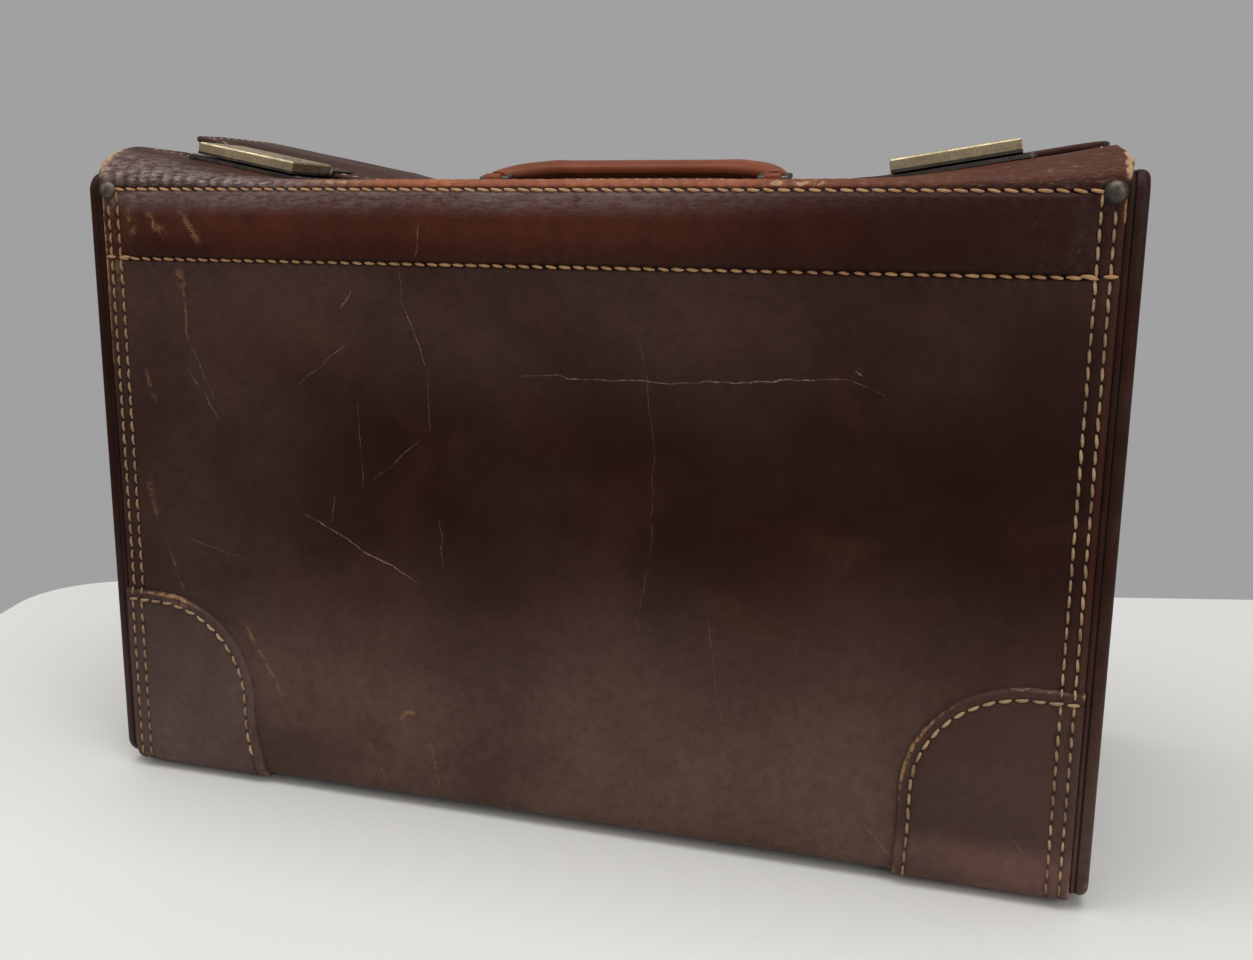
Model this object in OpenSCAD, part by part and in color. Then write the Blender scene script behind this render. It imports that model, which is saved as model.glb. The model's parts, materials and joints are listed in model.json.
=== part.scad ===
// Leather pilot case: a board-stiffened leather body with raised end caps, a mouth closed by two
// leather flaps, a pair of hasp locks and a low folding handle.
// X runs along the case, the front faces -Y, +Z is up and Z = 0 is the surface it stands on.

/* [Case] */
// Overall length over the two end caps
case_l = 457; // [430:1:500]
// Depth over the front and back leather
case_w = 203; // [190:1:230]
// Height of the flap seams above the leather bottom
seam_h = 282.8; // [240:0.2:330]
// Height of the domed feet
foot_h = 4; // [3:0.5:8]

/* [Walls] */
// Thickness of the body leather
leather_t = 3.5; // [2.5:0.1:4.5]
// Thickness of the stiffening boards
board_t = 3; // [2:0.1:4]
// Thickness of the cloth-faced lining
lining_t = 1.2; // [0.8:0.1:2]
// Thickness of the leather end panels under the caps
end_panel_t = 3.3; // [3.2:0.1:4]
// Thickness of the raised end caps
cap_t = 7.5; // [5:0.5:12]
// Height of the end caps above the flap seams
cap_rise = 3.2; // [1:0.2:8]
// Corner radius of the end caps seen from the side
cap_corner_r = 9; // [6:0.5:16]
// Radius of the end caps' rounded outer edge
cap_edge_r = 3; // [1:0.5:5]
// Outside radius of the bend between walls and bottom
bend_r = 6; // [5:0.5:10]
// Length of leather turned in under the bottom
turn_in = 26; // [15:1:40]
// Width of the end panels' flanges behind the walls
flange_w = 16; // [10:1:24]
// Distance of the board and lining edges below the flap seams
board_drop = 8.3; // [8:0.1:12]

/* [Band and mouth frame] */
// Distance of the band's upper stitch line below the seam
band_top_drop = 4.8; // [4:0.2:8]
// Distance of the band's lower stitch line below the seam
band_low_drop = 35.8; // [32:0.2:44]
// How far the band stands out over the mouth frame
band_out = 3.3; // [3.2:0.1:5]
// Height over which the band swells from each stitch line
band_swell = 5; // [3:0.5:6]
// Bare width at each end of the band
band_end_w = 14; // [12:1:20]
// Height of the steel frame bars
bar_h = 20; // [12:1:22]
// Thickness of the steel frame bars
bar_t = 2; // [1:0.1:2.2]
// Distance of the bars' upper edge below the seam
bar_drop = 10.3; // [10:0.1:14]

/* [Corner patches] */
// Width of a corner patch along the bottom
patch_w = 69; // [50:1:90]
// Height of a corner patch
patch_h = 88; // [60:1:120]
// Radius of a corner patch's free corner
patch_r = 50; // [20:1:55]
// Thickness of the corner patches
patch_t = 2; // [1.2:0.1:3]
// Length of a patch turned under the bottom
patch_turn = 12; // [6:1:20]

/* [Rivets and feet] */
// Radius of the corner rivets' domed heads
corner_head_r = 5; // [4:0.1:6]
// Height of the corner rivets' domed heads
corner_head_h = 3; // [2:0.1:4]
// Distance of the corner rivets below the seam
corner_rivet_drop = 5.2; // [5:0.1:9]
// Distance of the corner rivets from the panel's raw end
corner_rivet_inset = 4; // [3:0.1:8]
// Radius of the corner rivets' burrs, inside
corner_burr_r = 2.2; // [1.9:0.1:2.3]
// Radius of the small rivets' heads
rivet_head_r = 2.4; // [2:0.1:3]
// Height of the small rivets' heads
rivet_head_h = 0.9; // [0.6:0.1:1]
// Radius of all rivet shanks
shank_r = 1.5; // [1:0.1:1.8]
// Radius of the burrs that close the rivets
burr_r = 2.8; // [2.2:0.1:3.5]
// Thickness of the burrs
burr_t = 0.8; // [0.5:0.1:1]
// Radius of a foot at the leather
foot_r = 8; // [6:0.5:12]
// Radius of a foot's flat tread
foot_tread_r = 4; // [2:0.5:5]
// Distance of the feet from the case's ends
foot_inset_x = 44; // [30:1:80]
// Distance of the feet from the front and back
foot_inset_y = 40; // [38:1:60]

/* [Flaps] */
// Thickness of the flap leather
flap_t = 3.2; // [2.4:0.1:4]
// Thickness of the flap linings
flap_lining_t = 0.8; // [0.5:0.1:1.5]
// Reach of the front flap from its seam
front_reach = 66.5; // [55:0.5:80]
// How far the rear flap lies over the front flap
flap_overlap = 10.5; // [8:0.5:16]
// Radius of the flaps' free corners
flap_corner_r = 14; // [6:1:20]
// How far the front flap sinks behind its seam
front_sag = 2.2; // [0:0.1:3]
// How much further both flaps sink in their middle, under the handle
middle_dip = 3; // [0:0.1:3.5]
// Distance over which the front flap settles behind its seam
front_settle = 20; // [12:1:24]
// Distance over which the rear flap rises from its seam
rear_settle = 60; // [40:1:70]
// Distance over which the rear flap's curled ends rise
rear_curl = 34; // [34:1:50]
// Upward tilt of the flaps' left ends
left_tilt = 10.8; // [4:0.1:12]
// Upward tilt of the flaps' right ends
right_tilt = 9.1; // [4:0.1:12]
// Distance from the case's end at which the flaps start to curl
curl_inset = 105.5; // [98:0.5:120]
// Softness of the flaps' curl where it starts
curl_soft = 5; // [3:0.5:8]
// Relief of the rear flap beside the corner rivets
relief_w = 7; // [6:0.5:10]
// Length of that relief from the seam
relief_d = 12; // [8:1:16]
// Inset of the flap linings from the leather's edge
lining_inset = 6; // [4:0.5:10]

/* [Locks] */
// Length of a lock case along the flap
lock_l = 50; // [44:1:60]
// Width of a lock case across the flap
lock_w = 34; // [30:1:40]
// Height of a lock case over its back plate
lock_h = 4.5; // [4.4:0.1:7]
// Wall of a lock case
lock_wall = 1; // [0.8:0.1:1.2]
// Bevel round the top of a lock case
lock_bevel = 0.7; // [0.5:0.1:2]
// Thickness of the lock's back plate
plate_t = 1; // [0.8:0.1:1.2]
// Distance of a lock's centre from the case's end
lock_inset = 69.5; // [60:0.5:70]
// Length of a strike plate
strike_l = 60; // [58:1:70]
// Width of a strike plate
strike_w = 38; // [34:1:42]
// Thickness of a strike plate
strike_t = 1.5; // [1:0.1:2]
// Thickness of the staple on a strike plate
staple_t = 2; // [1.5:0.1:2.5]
// Width of the staple
staple_w = 15; // [14:0.5:17]
// Thickness of a lock bolt
bolt_t = 1.6; // [1.2:0.1:1.8]
// Width of a lock bolt
bolt_w = 10.8; // [10.4:0.1:12]
// Length of a lock bolt
bolt_l = 18; // [16:0.5:20]
// Radius of a key plug
plug_r = 4.2; // [3.8:0.1:4.4]
// Throw radius of the key plug's cam pin
cam_throw = 3.1; // [2.8:0.1:3.2]
// Radius of the cam pin
cam_pin_r = 0.9; // [0.6:0.1:1]

/* [Handle] */
// Distance between the handle's two mounts
handle_span = 142; // [130:1:160]
// Height of the grip's centre over the pivot when upright
handle_rise = 28; // [24:0.5:36]
// Length of the straight grip
grip_l = 90; // [70:1:100]
// Width of the grip in the handle's plane
grip_w = 15; // [12:0.5:18]
// Thickness of the grip across the handle's plane
grip_t = 8.6; // [7:0.1:8.8]
// Height of the pivot above the rear flap
pivot_rise = 4.2; // [4.2:0.1:8]
// Angle by which the folded handle stays off the flap
handle_lean = 12; // [8:0.5:15]
// Place of the pivot behind the case's middle
handle_y = 6; // [0:1:12]
// Radius of the ring wire
ring_r = 1.5; // [1.2:0.1:1.8]
// Reach of a ring from its pivot
ring_reach = 8; // [7.5:0.1:10]
// Inside width of a ring
ring_gap = 10; // [9:0.5:14]
// Width of the mounts' base plates
mount_w = 15; // [14:0.5:18]
// Thickness of the mounts' base plates
mount_t = 1.2; // [1:0.1:1.6]
// Width of the backing plate under the flap
backing_w = 20; // [16:1:26]
// Thickness of the backing plate under the flap
backing_t = 1.5; // [1:0.1:2.5]

/* [Clearances] */
// Gap between a flap and its seam, and between the two flaps
flap_gap = 0.4; // [0.3:0.05:0.6]
// Gap between flat plates and the curved leather that they seat on
seat_gap = 0.3; // [0.3:0.05:0.5]
// Gap between a lock and the strike plate under it
lock_air = 1; // [0.9:0.1:1.5]
// Gap round the staple in its slot, for the swing of the flaps
staple_air = 1.5; // [1.4:0.1:2]
// Gap of parts that slide or pass each other inside a lock
slide_gap = 0.1; // [0.1:0.05:0.3]
// Radial gap of pivots and rivet shanks
pivot_gap = 0.05; // [0.03:0.01:0.1]
// Gap of stacked parts where one curved skin backs another
skin_gap = 0.2; // [0.1:0.05:0.3]

/* [Hidden] */
$fn = 40;
fillet_steps = 6;
panel_half = case_l / 2 - cap_t;
face_y = case_w / 2;
hinge_y = face_y - leather_t;
floor_z = foot_h;
seam_z = floor_z + seam_h;
board_y = hinge_y - board_t;
board_top = seam_z - board_drop;
end_board_x = panel_half - end_panel_t;
lining_x = end_board_x - board_t;
board_half = panel_half - flange_w - flap_gap;
inner_x = lining_x - lining_t;
inner_y = board_y - lining_t;
base_z = floor_z + leather_t;
tub_z = base_z + board_t;
bar_top = seam_z - bar_drop;
band_top = seam_z - band_top_drop;
band_low = seam_z - band_low_drop;
ridge_fall = leather_t * tan(29);
knee_x = case_l / 2 - curl_inset;
lock_x = case_l / 2 - lock_inset;
flap_half = panel_half - 3;
rear_half = panel_half - 4;
front_edge_y = front_reach - hinge_y;
rear_edge_y = front_edge_y - flap_overlap;
rear_reach = hinge_y - rear_edge_y;
rear_over_front = flap_gap + flap_lining_t + skin_gap + flap_t;
rear_rise = rear_over_front - front_sag;
lock_y = rear_edge_y - 3 - lock_w / 2;
lock_rivet_y = front_edge_y + burr_r + 1.4 - lock_y;
plate_rear_y = lock_rivet_y + rivet_head_r + 2;
strike_rivet_x = strike_l / 2 - rivet_head_r;
strike_rivet_y = strike_w / 2 - rivet_head_r - 1.5;
front_skin_w = -(seat_gap + strike_t + lock_air);
eye_low_w = plate_t + slide_gap - 0.4;
eye_high_w = plate_t + slide_gap + bolt_t + 0.4;
staple_top_w = eye_high_w + 1.1;
bolt_tip_x = -staple_t / 2 - staple_top_w * tan(max(left_tilt, right_tilt)) - 0.9;
plug_x = bolt_tip_x - bolt_l / 2 - 2;
cam_travel = 2 * cam_throw * sin(45);
plug_low_w = plate_t + slide_gap + bolt_t + 2 * slide_gap;
handle_z = seam_z + rear_rise - middle_dip + pivot_rise;
mount_x = handle_span / 2;
mount_half_l = ring_gap / 2 + 2 * ring_r + 2 * rivet_head_r + 1.2;
mount_rivet_x = ring_gap / 2 + 2 * ring_r + rivet_head_r + 0.6;
frame_rivet_xs = [-150, 0, 150] * (panel_half / 221);
frame_rivet_ys = [-60, 60] * (face_y / 101.5);
frame_rivet_z = bar_top - bar_h / 2;
feet_x = case_l / 2 - foot_inset_x;
feet_y = face_y - foot_inset_y;

// Curves shared by the leather parts

function smooth(t) = let (c = min(1, max(0, t))) c * c * (3 - 2 * c);
function arc(cx, cy, r, a0, a1) =
    [for (i = [0 : fillet_steps]) let (a = a0 + (a1 - a0) * i / fillet_steps) [cx + r * cos(a), cy + r * sin(a)]];

// Outline of a wall seen from its end, at a depth under the outer face; the band swells if asked
function wall_line(depth, top, swell, tail) = concat(
    [[-face_y + bend_r + tail, floor_z + depth]],
    arc(-face_y + bend_r, floor_z + bend_r, bend_r - depth, 270, 180),
    [for (i = [0 : fillet_steps]) let (t = i / fillet_steps)
        [-face_y + depth - swell * smooth(t), band_low + band_swell * t]],
    [for (i = [0 : fillet_steps]) let (t = i / fillet_steps)
        [-face_y + depth - swell * smooth(1 - t), band_top - band_swell * (1 - t)]],
    [[-face_y + depth, top]]
);

function reversed(line) = [for (i = [len(line) - 1 : -1 : 0]) line[i]];

// Height that the curled ends add to a flap, straight beyond the knee so that flat plates seat on it
function lift(x) = let (past = abs(x) - knee_x)
    tan(x < 0 ? left_tilt : right_tilt) * (past + sqrt(past * past + curl_soft * curl_soft)) / 2;
// Depth of the middle's dip, level under the handle's mounts and gone where the curl starts
function dip(x) = let (level = mount_x + mount_half_l + 3)
    middle_dip * (1 - smooth((abs(x) - level) / (knee_x - level)));
function front_top(x, d) =
    seam_z - (front_sag + dip(x)) * smooth(d / front_settle) + lift(x) * sin(90 * min(1, d / front_settle));
function rear_top(x, d) =
    seam_z + (rear_rise - dip(x)) * smooth(d / rear_settle) + lift(x) * smooth(d / rear_curl);

// Half length of a flap at distance d from its seam, with its free corners rounded
function rounded_half(half, reach, d) = let (past = max(0, d - (reach - flap_corner_r)))
    half - flap_corner_r + sqrt(max(0, flap_corner_r * flap_corner_r - past * past));
function rivet_relief(d) = relief_w * (1 - smooth((d - relief_d) / 6));

// Distances from the seam at which a flap is drawn: over its bend, then on to its rounded corners.
// The lining repeats those that it covers, so that the two skins bend alike.
function steps(from, to, count) = [for (i = [1 : count]) from + (to - from) * i / count];
front_bend = concat([flap_gap], steps(flap_gap, front_settle, 7));
rear_bend = concat([flap_gap], steps(flap_gap, rear_curl, 8),
    steps(rear_curl, max(rear_settle, rear_curl + 1), 3));
function covered(bend) = [for (d = bend) if (d > lining_inset - 0.01) d];
function to_edge(bend, reach) = let (last = bend[len(bend) - 1]) concat(bend,
    steps(last, reach - flap_corner_r, 2),
    [for (a = [22.5, 45, 67.5, 90]) reach - flap_corner_r + flap_corner_r * sin(a)]);

// Places along a flap as shares of its half length, closer together at the knee of the curl
function half_stations(inner, outer) = let (knee = knee_x / panel_half) concat(
    [for (i = [0 : inner]) knee * (1 - pow(1 - i / inner, 2))],
    [for (j = [1 : outer]) knee + (1 - knee) * pow(j / outer, 2)]
);
function both_sides(shares) = concat([for (s = reversed(shares)) -s], [for (i = [1 : len(shares) - 1]) shares[i]]);
flap_shares = both_sides(half_stations(7, 6));

// Closed sheet between a grid of top points and the same grid lowered by its thickness.
// rows[j][i] are points with x rising in i and y rising in j.
module sheet(rows, thickness) {
    m = len(rows);
    n = len(rows[0]);
    count = m * n;
    top = [for (row = rows) each row];
    bottom = [for (p = top) [p[0], p[1], p[2] - thickness]];
    faces = concat(
        [for (j = [0 : m - 2], i = [0 : n - 2]) let (a = j * n + i) each
            [[a, a + n, a + n + 1], [a, a + n + 1, a + 1]]],
        [for (j = [0 : m - 2], i = [0 : n - 2]) let (a = count + j * n + i) each
            [[a, a + n + 1, a + n], [a, a + 1, a + n + 1]]],
        [for (i = [0 : n - 2]) each [[i, i + 1, count + i + 1], [i, count + i + 1, count + i]]],
        [for (i = [0 : n - 2]) let (a = (m - 1) * n + i) each
            [[a, count + a, count + a + 1], [a, count + a + 1, a + 1]]],
        [for (j = [0 : m - 2]) let (a = j * n) each
            [[a, count + a, count + a + n], [a, count + a + n, a + n]]],
        [for (j = [0 : m - 2]) let (a = j * n + n - 1) each
            [[a, a + n, count + a + n], [a, count + a + n, count + a]]]
    );
    polyhedron(points = concat(top, bottom), faces = faces, convexity = 4);
}

// Body walls

module wall_leather() {
    module run(swell, from, to)
        translate([from, 0, 0]) rotate([90, 0, 90]) linear_extrude(to - from)
            polygon(concat(
                wall_line(0, seam_z - flap_gap - ridge_fall, swell, turn_in),
                reversed(wall_line(leather_t, seam_z - flap_gap, swell, turn_in))));
    difference() {
        union() {
            run(0, -panel_half, -panel_half + band_end_w);
            run(band_out, -panel_half + band_end_w, panel_half - band_end_w);
            run(0, panel_half - band_end_w, panel_half);
        }
        for (side = [-1, 1]) corner_rivet_place(side) across(-1, leather_t + 2, shank_r + pivot_gap);
    }
}

module wall_board() difference() {
    translate([-board_half, -hinge_y, tub_z]) cube([2 * board_half, board_t, board_top - tub_z]);
    for (x = frame_rivet_xs) translate([x, -hinge_y, frame_rivet_z]) across(-1, board_t + 2, shank_r + pivot_gap);
}

// Cylinder along +Y from the given start
module across(start, length, r) translate([0, start, 0]) rotate([-90, 0, 0]) cylinder(r = r, h = length);

module front_panel() color("#4a2318") wall_leather();
module back_panel() color("#4a2318") mirror([0, 1, 0]) wall_leather();
module front_board() color("#8a7a5c") wall_board();
module back_board() color("#8a7a5c") mirror([0, 1, 0]) wall_board();

module bottom_leather() color("#3d1d14") difference() {
    turned_y = face_y - bend_r - turn_in;
    translate([-panel_half, -turned_y + flap_gap, floor_z])
        cube([2 * panel_half, 2 * (turned_y - flap_gap), leather_t]);
    feet_holes();
}

module bottom_board() color("#8a7a5c") difference() {
    translate([-board_half, -board_y, base_z]) cube([2 * board_half, 2 * board_y, board_t]);
    feet_holes();
}

module feet_holes()
    for (x = [-feet_x, feet_x], y = [-feet_y, feet_y])
        translate([x, y, 0]) cylinder(r = shank_r + pivot_gap, h = tub_z + 1);

module end_board() difference() {
    translate([lining_x, -board_y + flap_gap, tub_z])
        cube([board_t, 2 * (board_y - flap_gap), board_top - tub_z]);
    for (y = frame_rivet_ys) translate([lining_x - 1, y, frame_rivet_z])
        rotate([0, 90, 0]) cylinder(r = shank_r + pivot_gap, h = board_t + 2);
}
module left_end_board() color("#8a7a5c") mirror([1, 0, 0]) end_board();
module right_end_board() color("#8a7a5c") end_board();

// End panel: a leather slab with flanges turned in behind the front, the back and over the bottom
module end_panel() {
    top = bar_top - bar_h - 1;
    fit = flap_gap / 2;
    translate([end_board_x, -board_y, base_z]) cube([end_panel_t, 2 * board_y, top - base_z]);
    low = tub_z + flap_gap;
    for (side = [-1, 1])
        translate([panel_half - flange_w, side > 0 ? board_y : -hinge_y + fit, low])
            cube([flange_w, board_t - fit, top - low]);
    translate([panel_half - flange_w, -board_y, base_z]) cube([flange_w, 2 * board_y, board_t]);
}
module left_end_panel() color("#45201a") mirror([1, 0, 0]) end_panel();
module right_end_panel() color("#45201a") end_panel();

// End cap: padded leather slab with rounded corners and a rounded outer edge
module end_cap() {
    reach_y = face_y - cap_corner_r;
    low = floor_z + cap_corner_r;
    high = seam_z + cap_rise - cap_corner_r;
    hull() for (y = [-reach_y, reach_y], z = [low, high])
        translate([panel_half, y, z]) rotate([0, 90, 0]) rotate_extrude($fn = 36)
            polygon(concat([[0, 0], [cap_corner_r, 0]],
                arc(cap_corner_r - cap_edge_r, cap_t - cap_edge_r, cap_edge_r, 0, 90),
                [[0, cap_t]]));
}
module left_end_cap() color("#4a2318") mirror([1, 0, 0]) end_cap();
module right_end_cap() color("#4a2318") end_cap();

module lining() color("#6f5f45") difference() {
    translate([-lining_x, -board_y, tub_z]) cube([2 * lining_x, 2 * board_y, board_top - tub_z]);
    translate([-inner_x, -inner_y, tub_z + lining_t]) cube([2 * inner_x, 2 * inner_y, board_top]);
    for (x = frame_rivet_xs) translate([x, 0, frame_rivet_z]) across(-face_y, 2 * face_y, shank_r + pivot_gap);
    for (y = frame_rivet_ys) translate([-panel_half, y, frame_rivet_z])
        rotate([0, 90, 0]) cylinder(r = shank_r + pivot_gap, h = 2 * panel_half);
}

// Mouth frame

module long_bar() difference() {
    half = panel_half - band_end_w - 1;
    translate([-half, -hinge_y - bar_t, bar_top - bar_h]) cube([2 * half, bar_t, bar_h]);
    for (x = frame_rivet_xs) translate([x, -hinge_y, frame_rivet_z])
        across(-bar_t - 1, bar_t + 2, shank_r + pivot_gap);
}
module end_bar() difference() {
    half = board_y - 3;
    translate([end_board_x, -half, bar_top - bar_h]) cube([bar_t, 2 * half, bar_h]);
    for (y = frame_rivet_ys) translate([end_board_x - 1, y, frame_rivet_z])
        rotate([0, 90, 0]) cylinder(r = shank_r + pivot_gap, h = bar_t + 2);
}
module frame_bar_front() color("#7d7f80") long_bar();
module frame_bar_back() color("#7d7f80") mirror([0, 1, 0]) long_bar();
module frame_bar_left() color("#7d7f80") mirror([1, 0, 0]) end_bar();
module frame_bar_right() color("#7d7f80") end_bar();

// Rivet along +Z: a low domed head on z = 0 and a burr that starts at -grip
module rivet(head_r, head_h, grip, burr = burr_r) {
    ball = (head_r * head_r + head_h * head_h) / (2 * head_h);
    intersection() {
        translate([0, 0, head_h - ball]) sphere(r = ball);
        cylinder(r = head_r + 1, h = head_h + 1);
    }
    translate([0, 0, -grip - burr_t]) cylinder(r = shank_r, h = grip + burr_t + head_h / 2);
    translate([0, 0, -grip - burr_t]) cylinder(r = burr, h = burr_t);
}

module frame_rivets() color("#8c8e8f") {
    grip = bar_t + board_t + lining_t;
    for (x = frame_rivet_xs, side = [0, 1]) mirror([0, side, 0])
        translate([x, -hinge_y - bar_t, frame_rivet_z]) rotate([90, 0, 0]) rivet(rivet_head_r, rivet_head_h, grip);
    for (y = frame_rivet_ys, side = [0, 1]) mirror([side, 0, 0])
        translate([end_board_x + bar_t, y, frame_rivet_z]) rotate([0, 90, 0]) rivet(rivet_head_r, rivet_head_h, grip);
}

// Corner patches

module corner_patch() {
    inner = panel_half - patch_w;
    intersection() {
        translate([inner, 0, 0]) rotate([90, 0, 90]) linear_extrude(patch_w)
            polygon(concat(
                [[-face_y + bend_r + patch_turn, floor_z - patch_t]],
                arc(-face_y + bend_r, floor_z + bend_r, bend_r + patch_t, 270, 180),
                [[-face_y - patch_t, floor_z + patch_h], [-face_y, floor_z + patch_h]],
                reversed(arc(-face_y + bend_r, floor_z + bend_r, bend_r, 270, 180)),
                [[-face_y + bend_r + patch_turn, floor_z]]));
        translate([0, face_y, 0]) rotate([90, 0, 0]) linear_extrude(2 * case_w)
            polygon(concat(
                [[panel_half, 0], [inner, 0]],
                arc(inner + patch_r, floor_z + patch_h - patch_r, patch_r, 180, 90),
                [[panel_half, floor_z + patch_h]]));
    }
}
module corner_patch_front_left() color("#54281a") mirror([1, 0, 0]) corner_patch();
module corner_patch_front_right() color("#54281a") corner_patch();
module corner_patch_back_left() color("#54281a") mirror([0, 1, 0]) mirror([1, 0, 0]) corner_patch();
module corner_patch_back_right() color("#54281a") mirror([0, 1, 0]) corner_patch();

// Place of a corner rivet on the front face; the back ones are its mirror
module corner_rivet_place(side)
    translate([side * (panel_half - corner_rivet_inset), -face_y, seam_z - corner_rivet_drop]) children();

module corner_rivets() color("#4d3f2b")
    for (side = [-1, 1], back = [0, 1]) mirror([0, back, 0])
        corner_rivet_place(side) rotate([90, 0, 0]) rivet(corner_head_r, corner_head_h, leather_t, corner_burr_r);

module feet() color("#8a7442")
    for (x = [-feet_x, feet_x], y = [-feet_y, feet_y]) translate([x, y, 0]) {
        rotate_extrude() polygon(concat([[0, 0]],
            [for (i = [0 : fillet_steps]) let (a = 90 * i / fillet_steps)
                [foot_tread_r + (foot_r - foot_tread_r) * sin(a), foot_h * (1 - cos(a))]],
            [[0, foot_h]]));
        translate([0, 0, foot_h / 2]) cylinder(r = shank_r, h = tub_z - foot_h / 2);
    }

// Front flap

function within(x, half) = max(-half, min(half, x));
function front_rows(stations, half, edge, drop) =
    [for (d = stations) let (side = rounded_half(half, edge, d))
        [for (s = flap_shares) let (x = within(s * flap_half, side)) [x, d - hinge_y, front_top(x, d) - drop]]];

module front_flap() color("#5a2a1c")
    sheet(front_rows(to_edge(front_bend, front_reach), flap_half, front_reach, 0), flap_t);

module front_flap_lining() color("#6f5f45") {
    edge = front_reach - lining_inset;
    sheet(front_rows(to_edge(covered(front_bend), edge), flap_half - lining_inset, edge, flap_t + skin_gap),
        flap_lining_t);
}

// Rear flap, drawn from its free edge back to its seam

function rear_rows(stations, half, edge, drop) =
    [for (d = reversed(stations)) let (side = rounded_half(half, edge, d) - rivet_relief(d))
        [for (s = flap_shares) let (x = within(s * flap_half, side)) [x, hinge_y - d, rear_top(x, d) - drop]]];

module rear_flap() color("#4a2318")
    sheet(rear_rows(to_edge(rear_bend, rear_reach), rear_half, rear_reach, 0), flap_t);

module rear_flap_lining() color("#6f5f45") {
    edge = rear_reach - lining_inset;
    sheet(rear_rows(to_edge(covered(rear_bend), edge), rear_half - lining_inset, edge, flap_t + skin_gap),
        flap_lining_t);
}

// Locks. In a lock's own frame x runs outwards along the flap, y backwards and z = 0 is the
// underside of its back plate; the front flap's skin lies at front_skin_w.

module at_lock(side) {
    tilt = side < 0 ? left_tilt : right_tilt;
    skin_z = seam_z - front_sag + tan(tilt) * (lock_x - knee_x);
    translate([side * lock_x, lock_y, skin_z - front_skin_w / cos(tilt)])
        mirror([side < 0 ? 1 : 0, 0, 0]) rotate([0, -tilt, 0]) children();
}
function rear_skin_w(side) = front_skin_w + rear_over_front * cos(side < 0 ? left_tilt : right_tilt);

// Hole for a rivet shank through a plate
module plate_hole(x, y, low, thickness)
    translate([x, y, low - 1]) cylinder(r = shank_r + pivot_gap, h = thickness + 2);

module rounded_plate(length, width, thickness, r) linear_extrude(thickness)
    polygon(concat(
        arc(length / 2 - r, width / 2 - r, r, 0, 90), arc(r - length / 2, width / 2 - r, r, 90, 180),
        arc(r - length / 2, r - width / 2, r, 180, 270), arc(length / 2 - r, r - width / 2, r, 270, 360)));

module strike_plate(side) at_lock(side) {
    low = -strike_t - lock_air;
    difference() {
        translate([0, 0, low]) rounded_plate(strike_l, strike_w, strike_t, 3);
        for (x = [-1, 1], y = [-1, 1]) plate_hole(x * strike_rivet_x, y * strike_rivet_y, low, strike_t);
    }
    difference() {
        translate([-staple_t / 2, -staple_w / 2, low]) cube([staple_t, staple_w, staple_top_w - low]);
        translate([-staple_t, -bolt_w / 2 - 0.4, eye_low_w])
            cube([2 * staple_t, bolt_w + 0.8, eye_high_w - eye_low_w]);
    }
}
module strike_plate_left() color("#6e6347") strike_plate(-1);
module strike_plate_right() color("#6e6347") strike_plate(1);

module strike_rivets() color("#6e6347")
    for (side = [-1, 1]) at_lock(side) for (x = [-1, 1], y = [-1, 1])
        translate([x * strike_rivet_x, y * strike_rivet_y, -lock_air])
            rivet(rivet_head_r, rivet_head_h * 0.6,
                strike_t + seat_gap + flap_t + flap_lining_t + 2 * skin_gap);

// Back plate: flat under the case, then stepped up onto the rear flap where it is riveted
module lock_back_plate(side) at_lock(side) difference() {
    step = rear_skin_w(side) + seat_gap;
    y0 = lock_w / 2 + 0.2;
    y1 = lock_w / 2 + 2.4;
    rotate([90, 0, 90]) translate([0, 0, -lock_l / 2]) linear_extrude(lock_l)
        polygon([[-lock_w / 2, 0], [y0, 0], [y1, step], [plate_rear_y, step],
            [plate_rear_y, step + plate_t], [y1 - 0.5, step + plate_t], [y0 - 0.2, plate_t], [-lock_w / 2, plate_t]]);
    translate([-staple_t / 2 - staple_air, -staple_w / 2 - staple_air, -1])
        cube([staple_t + 2 * staple_air, staple_w + 2 * staple_air, plate_t + 2]);
    for (x = [-1, 0, 1]) plate_hole(x * (lock_l / 2 - 6), lock_rivet_y, step, plate_t);
}
module lock_back_plate_left() color("#7a6a3e") lock_back_plate(-1);
module lock_back_plate_right() color("#7a6a3e") lock_back_plate(1);

module lock_rivets() color("#7a6a3e")
    for (side = [-1, 1]) at_lock(side) for (x = [-1, 0, 1])
        translate([x * (lock_l / 2 - 6), lock_rivet_y, rear_skin_w(side) + seat_gap + plate_t])
            rivet(rivet_head_r, rivet_head_h,
                plate_t + seat_gap + flap_t + flap_lining_t + 2 * skin_gap);

// Slab with its top edges bevelled on all four sides
module bevelled_slab(length, width, height, bevel) intersection() {
    rotate([90, 0, 90]) translate([0, 0, -length / 2]) linear_extrude(length)
        polygon([[-width / 2, 0], [width / 2, 0], [width / 2, height - bevel],
            [width / 2 - bevel, height], [bevel - width / 2, height], [-width / 2, height - bevel]]);
    rotate([90, 0, 0]) translate([0, 0, -width / 2]) linear_extrude(width)
        polygon([[-length / 2, 0], [length / 2, 0], [length / 2, height - bevel],
            [length / 2 - bevel, height], [bevel - length / 2, height], [-length / 2, height - bevel]]);
}

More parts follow.
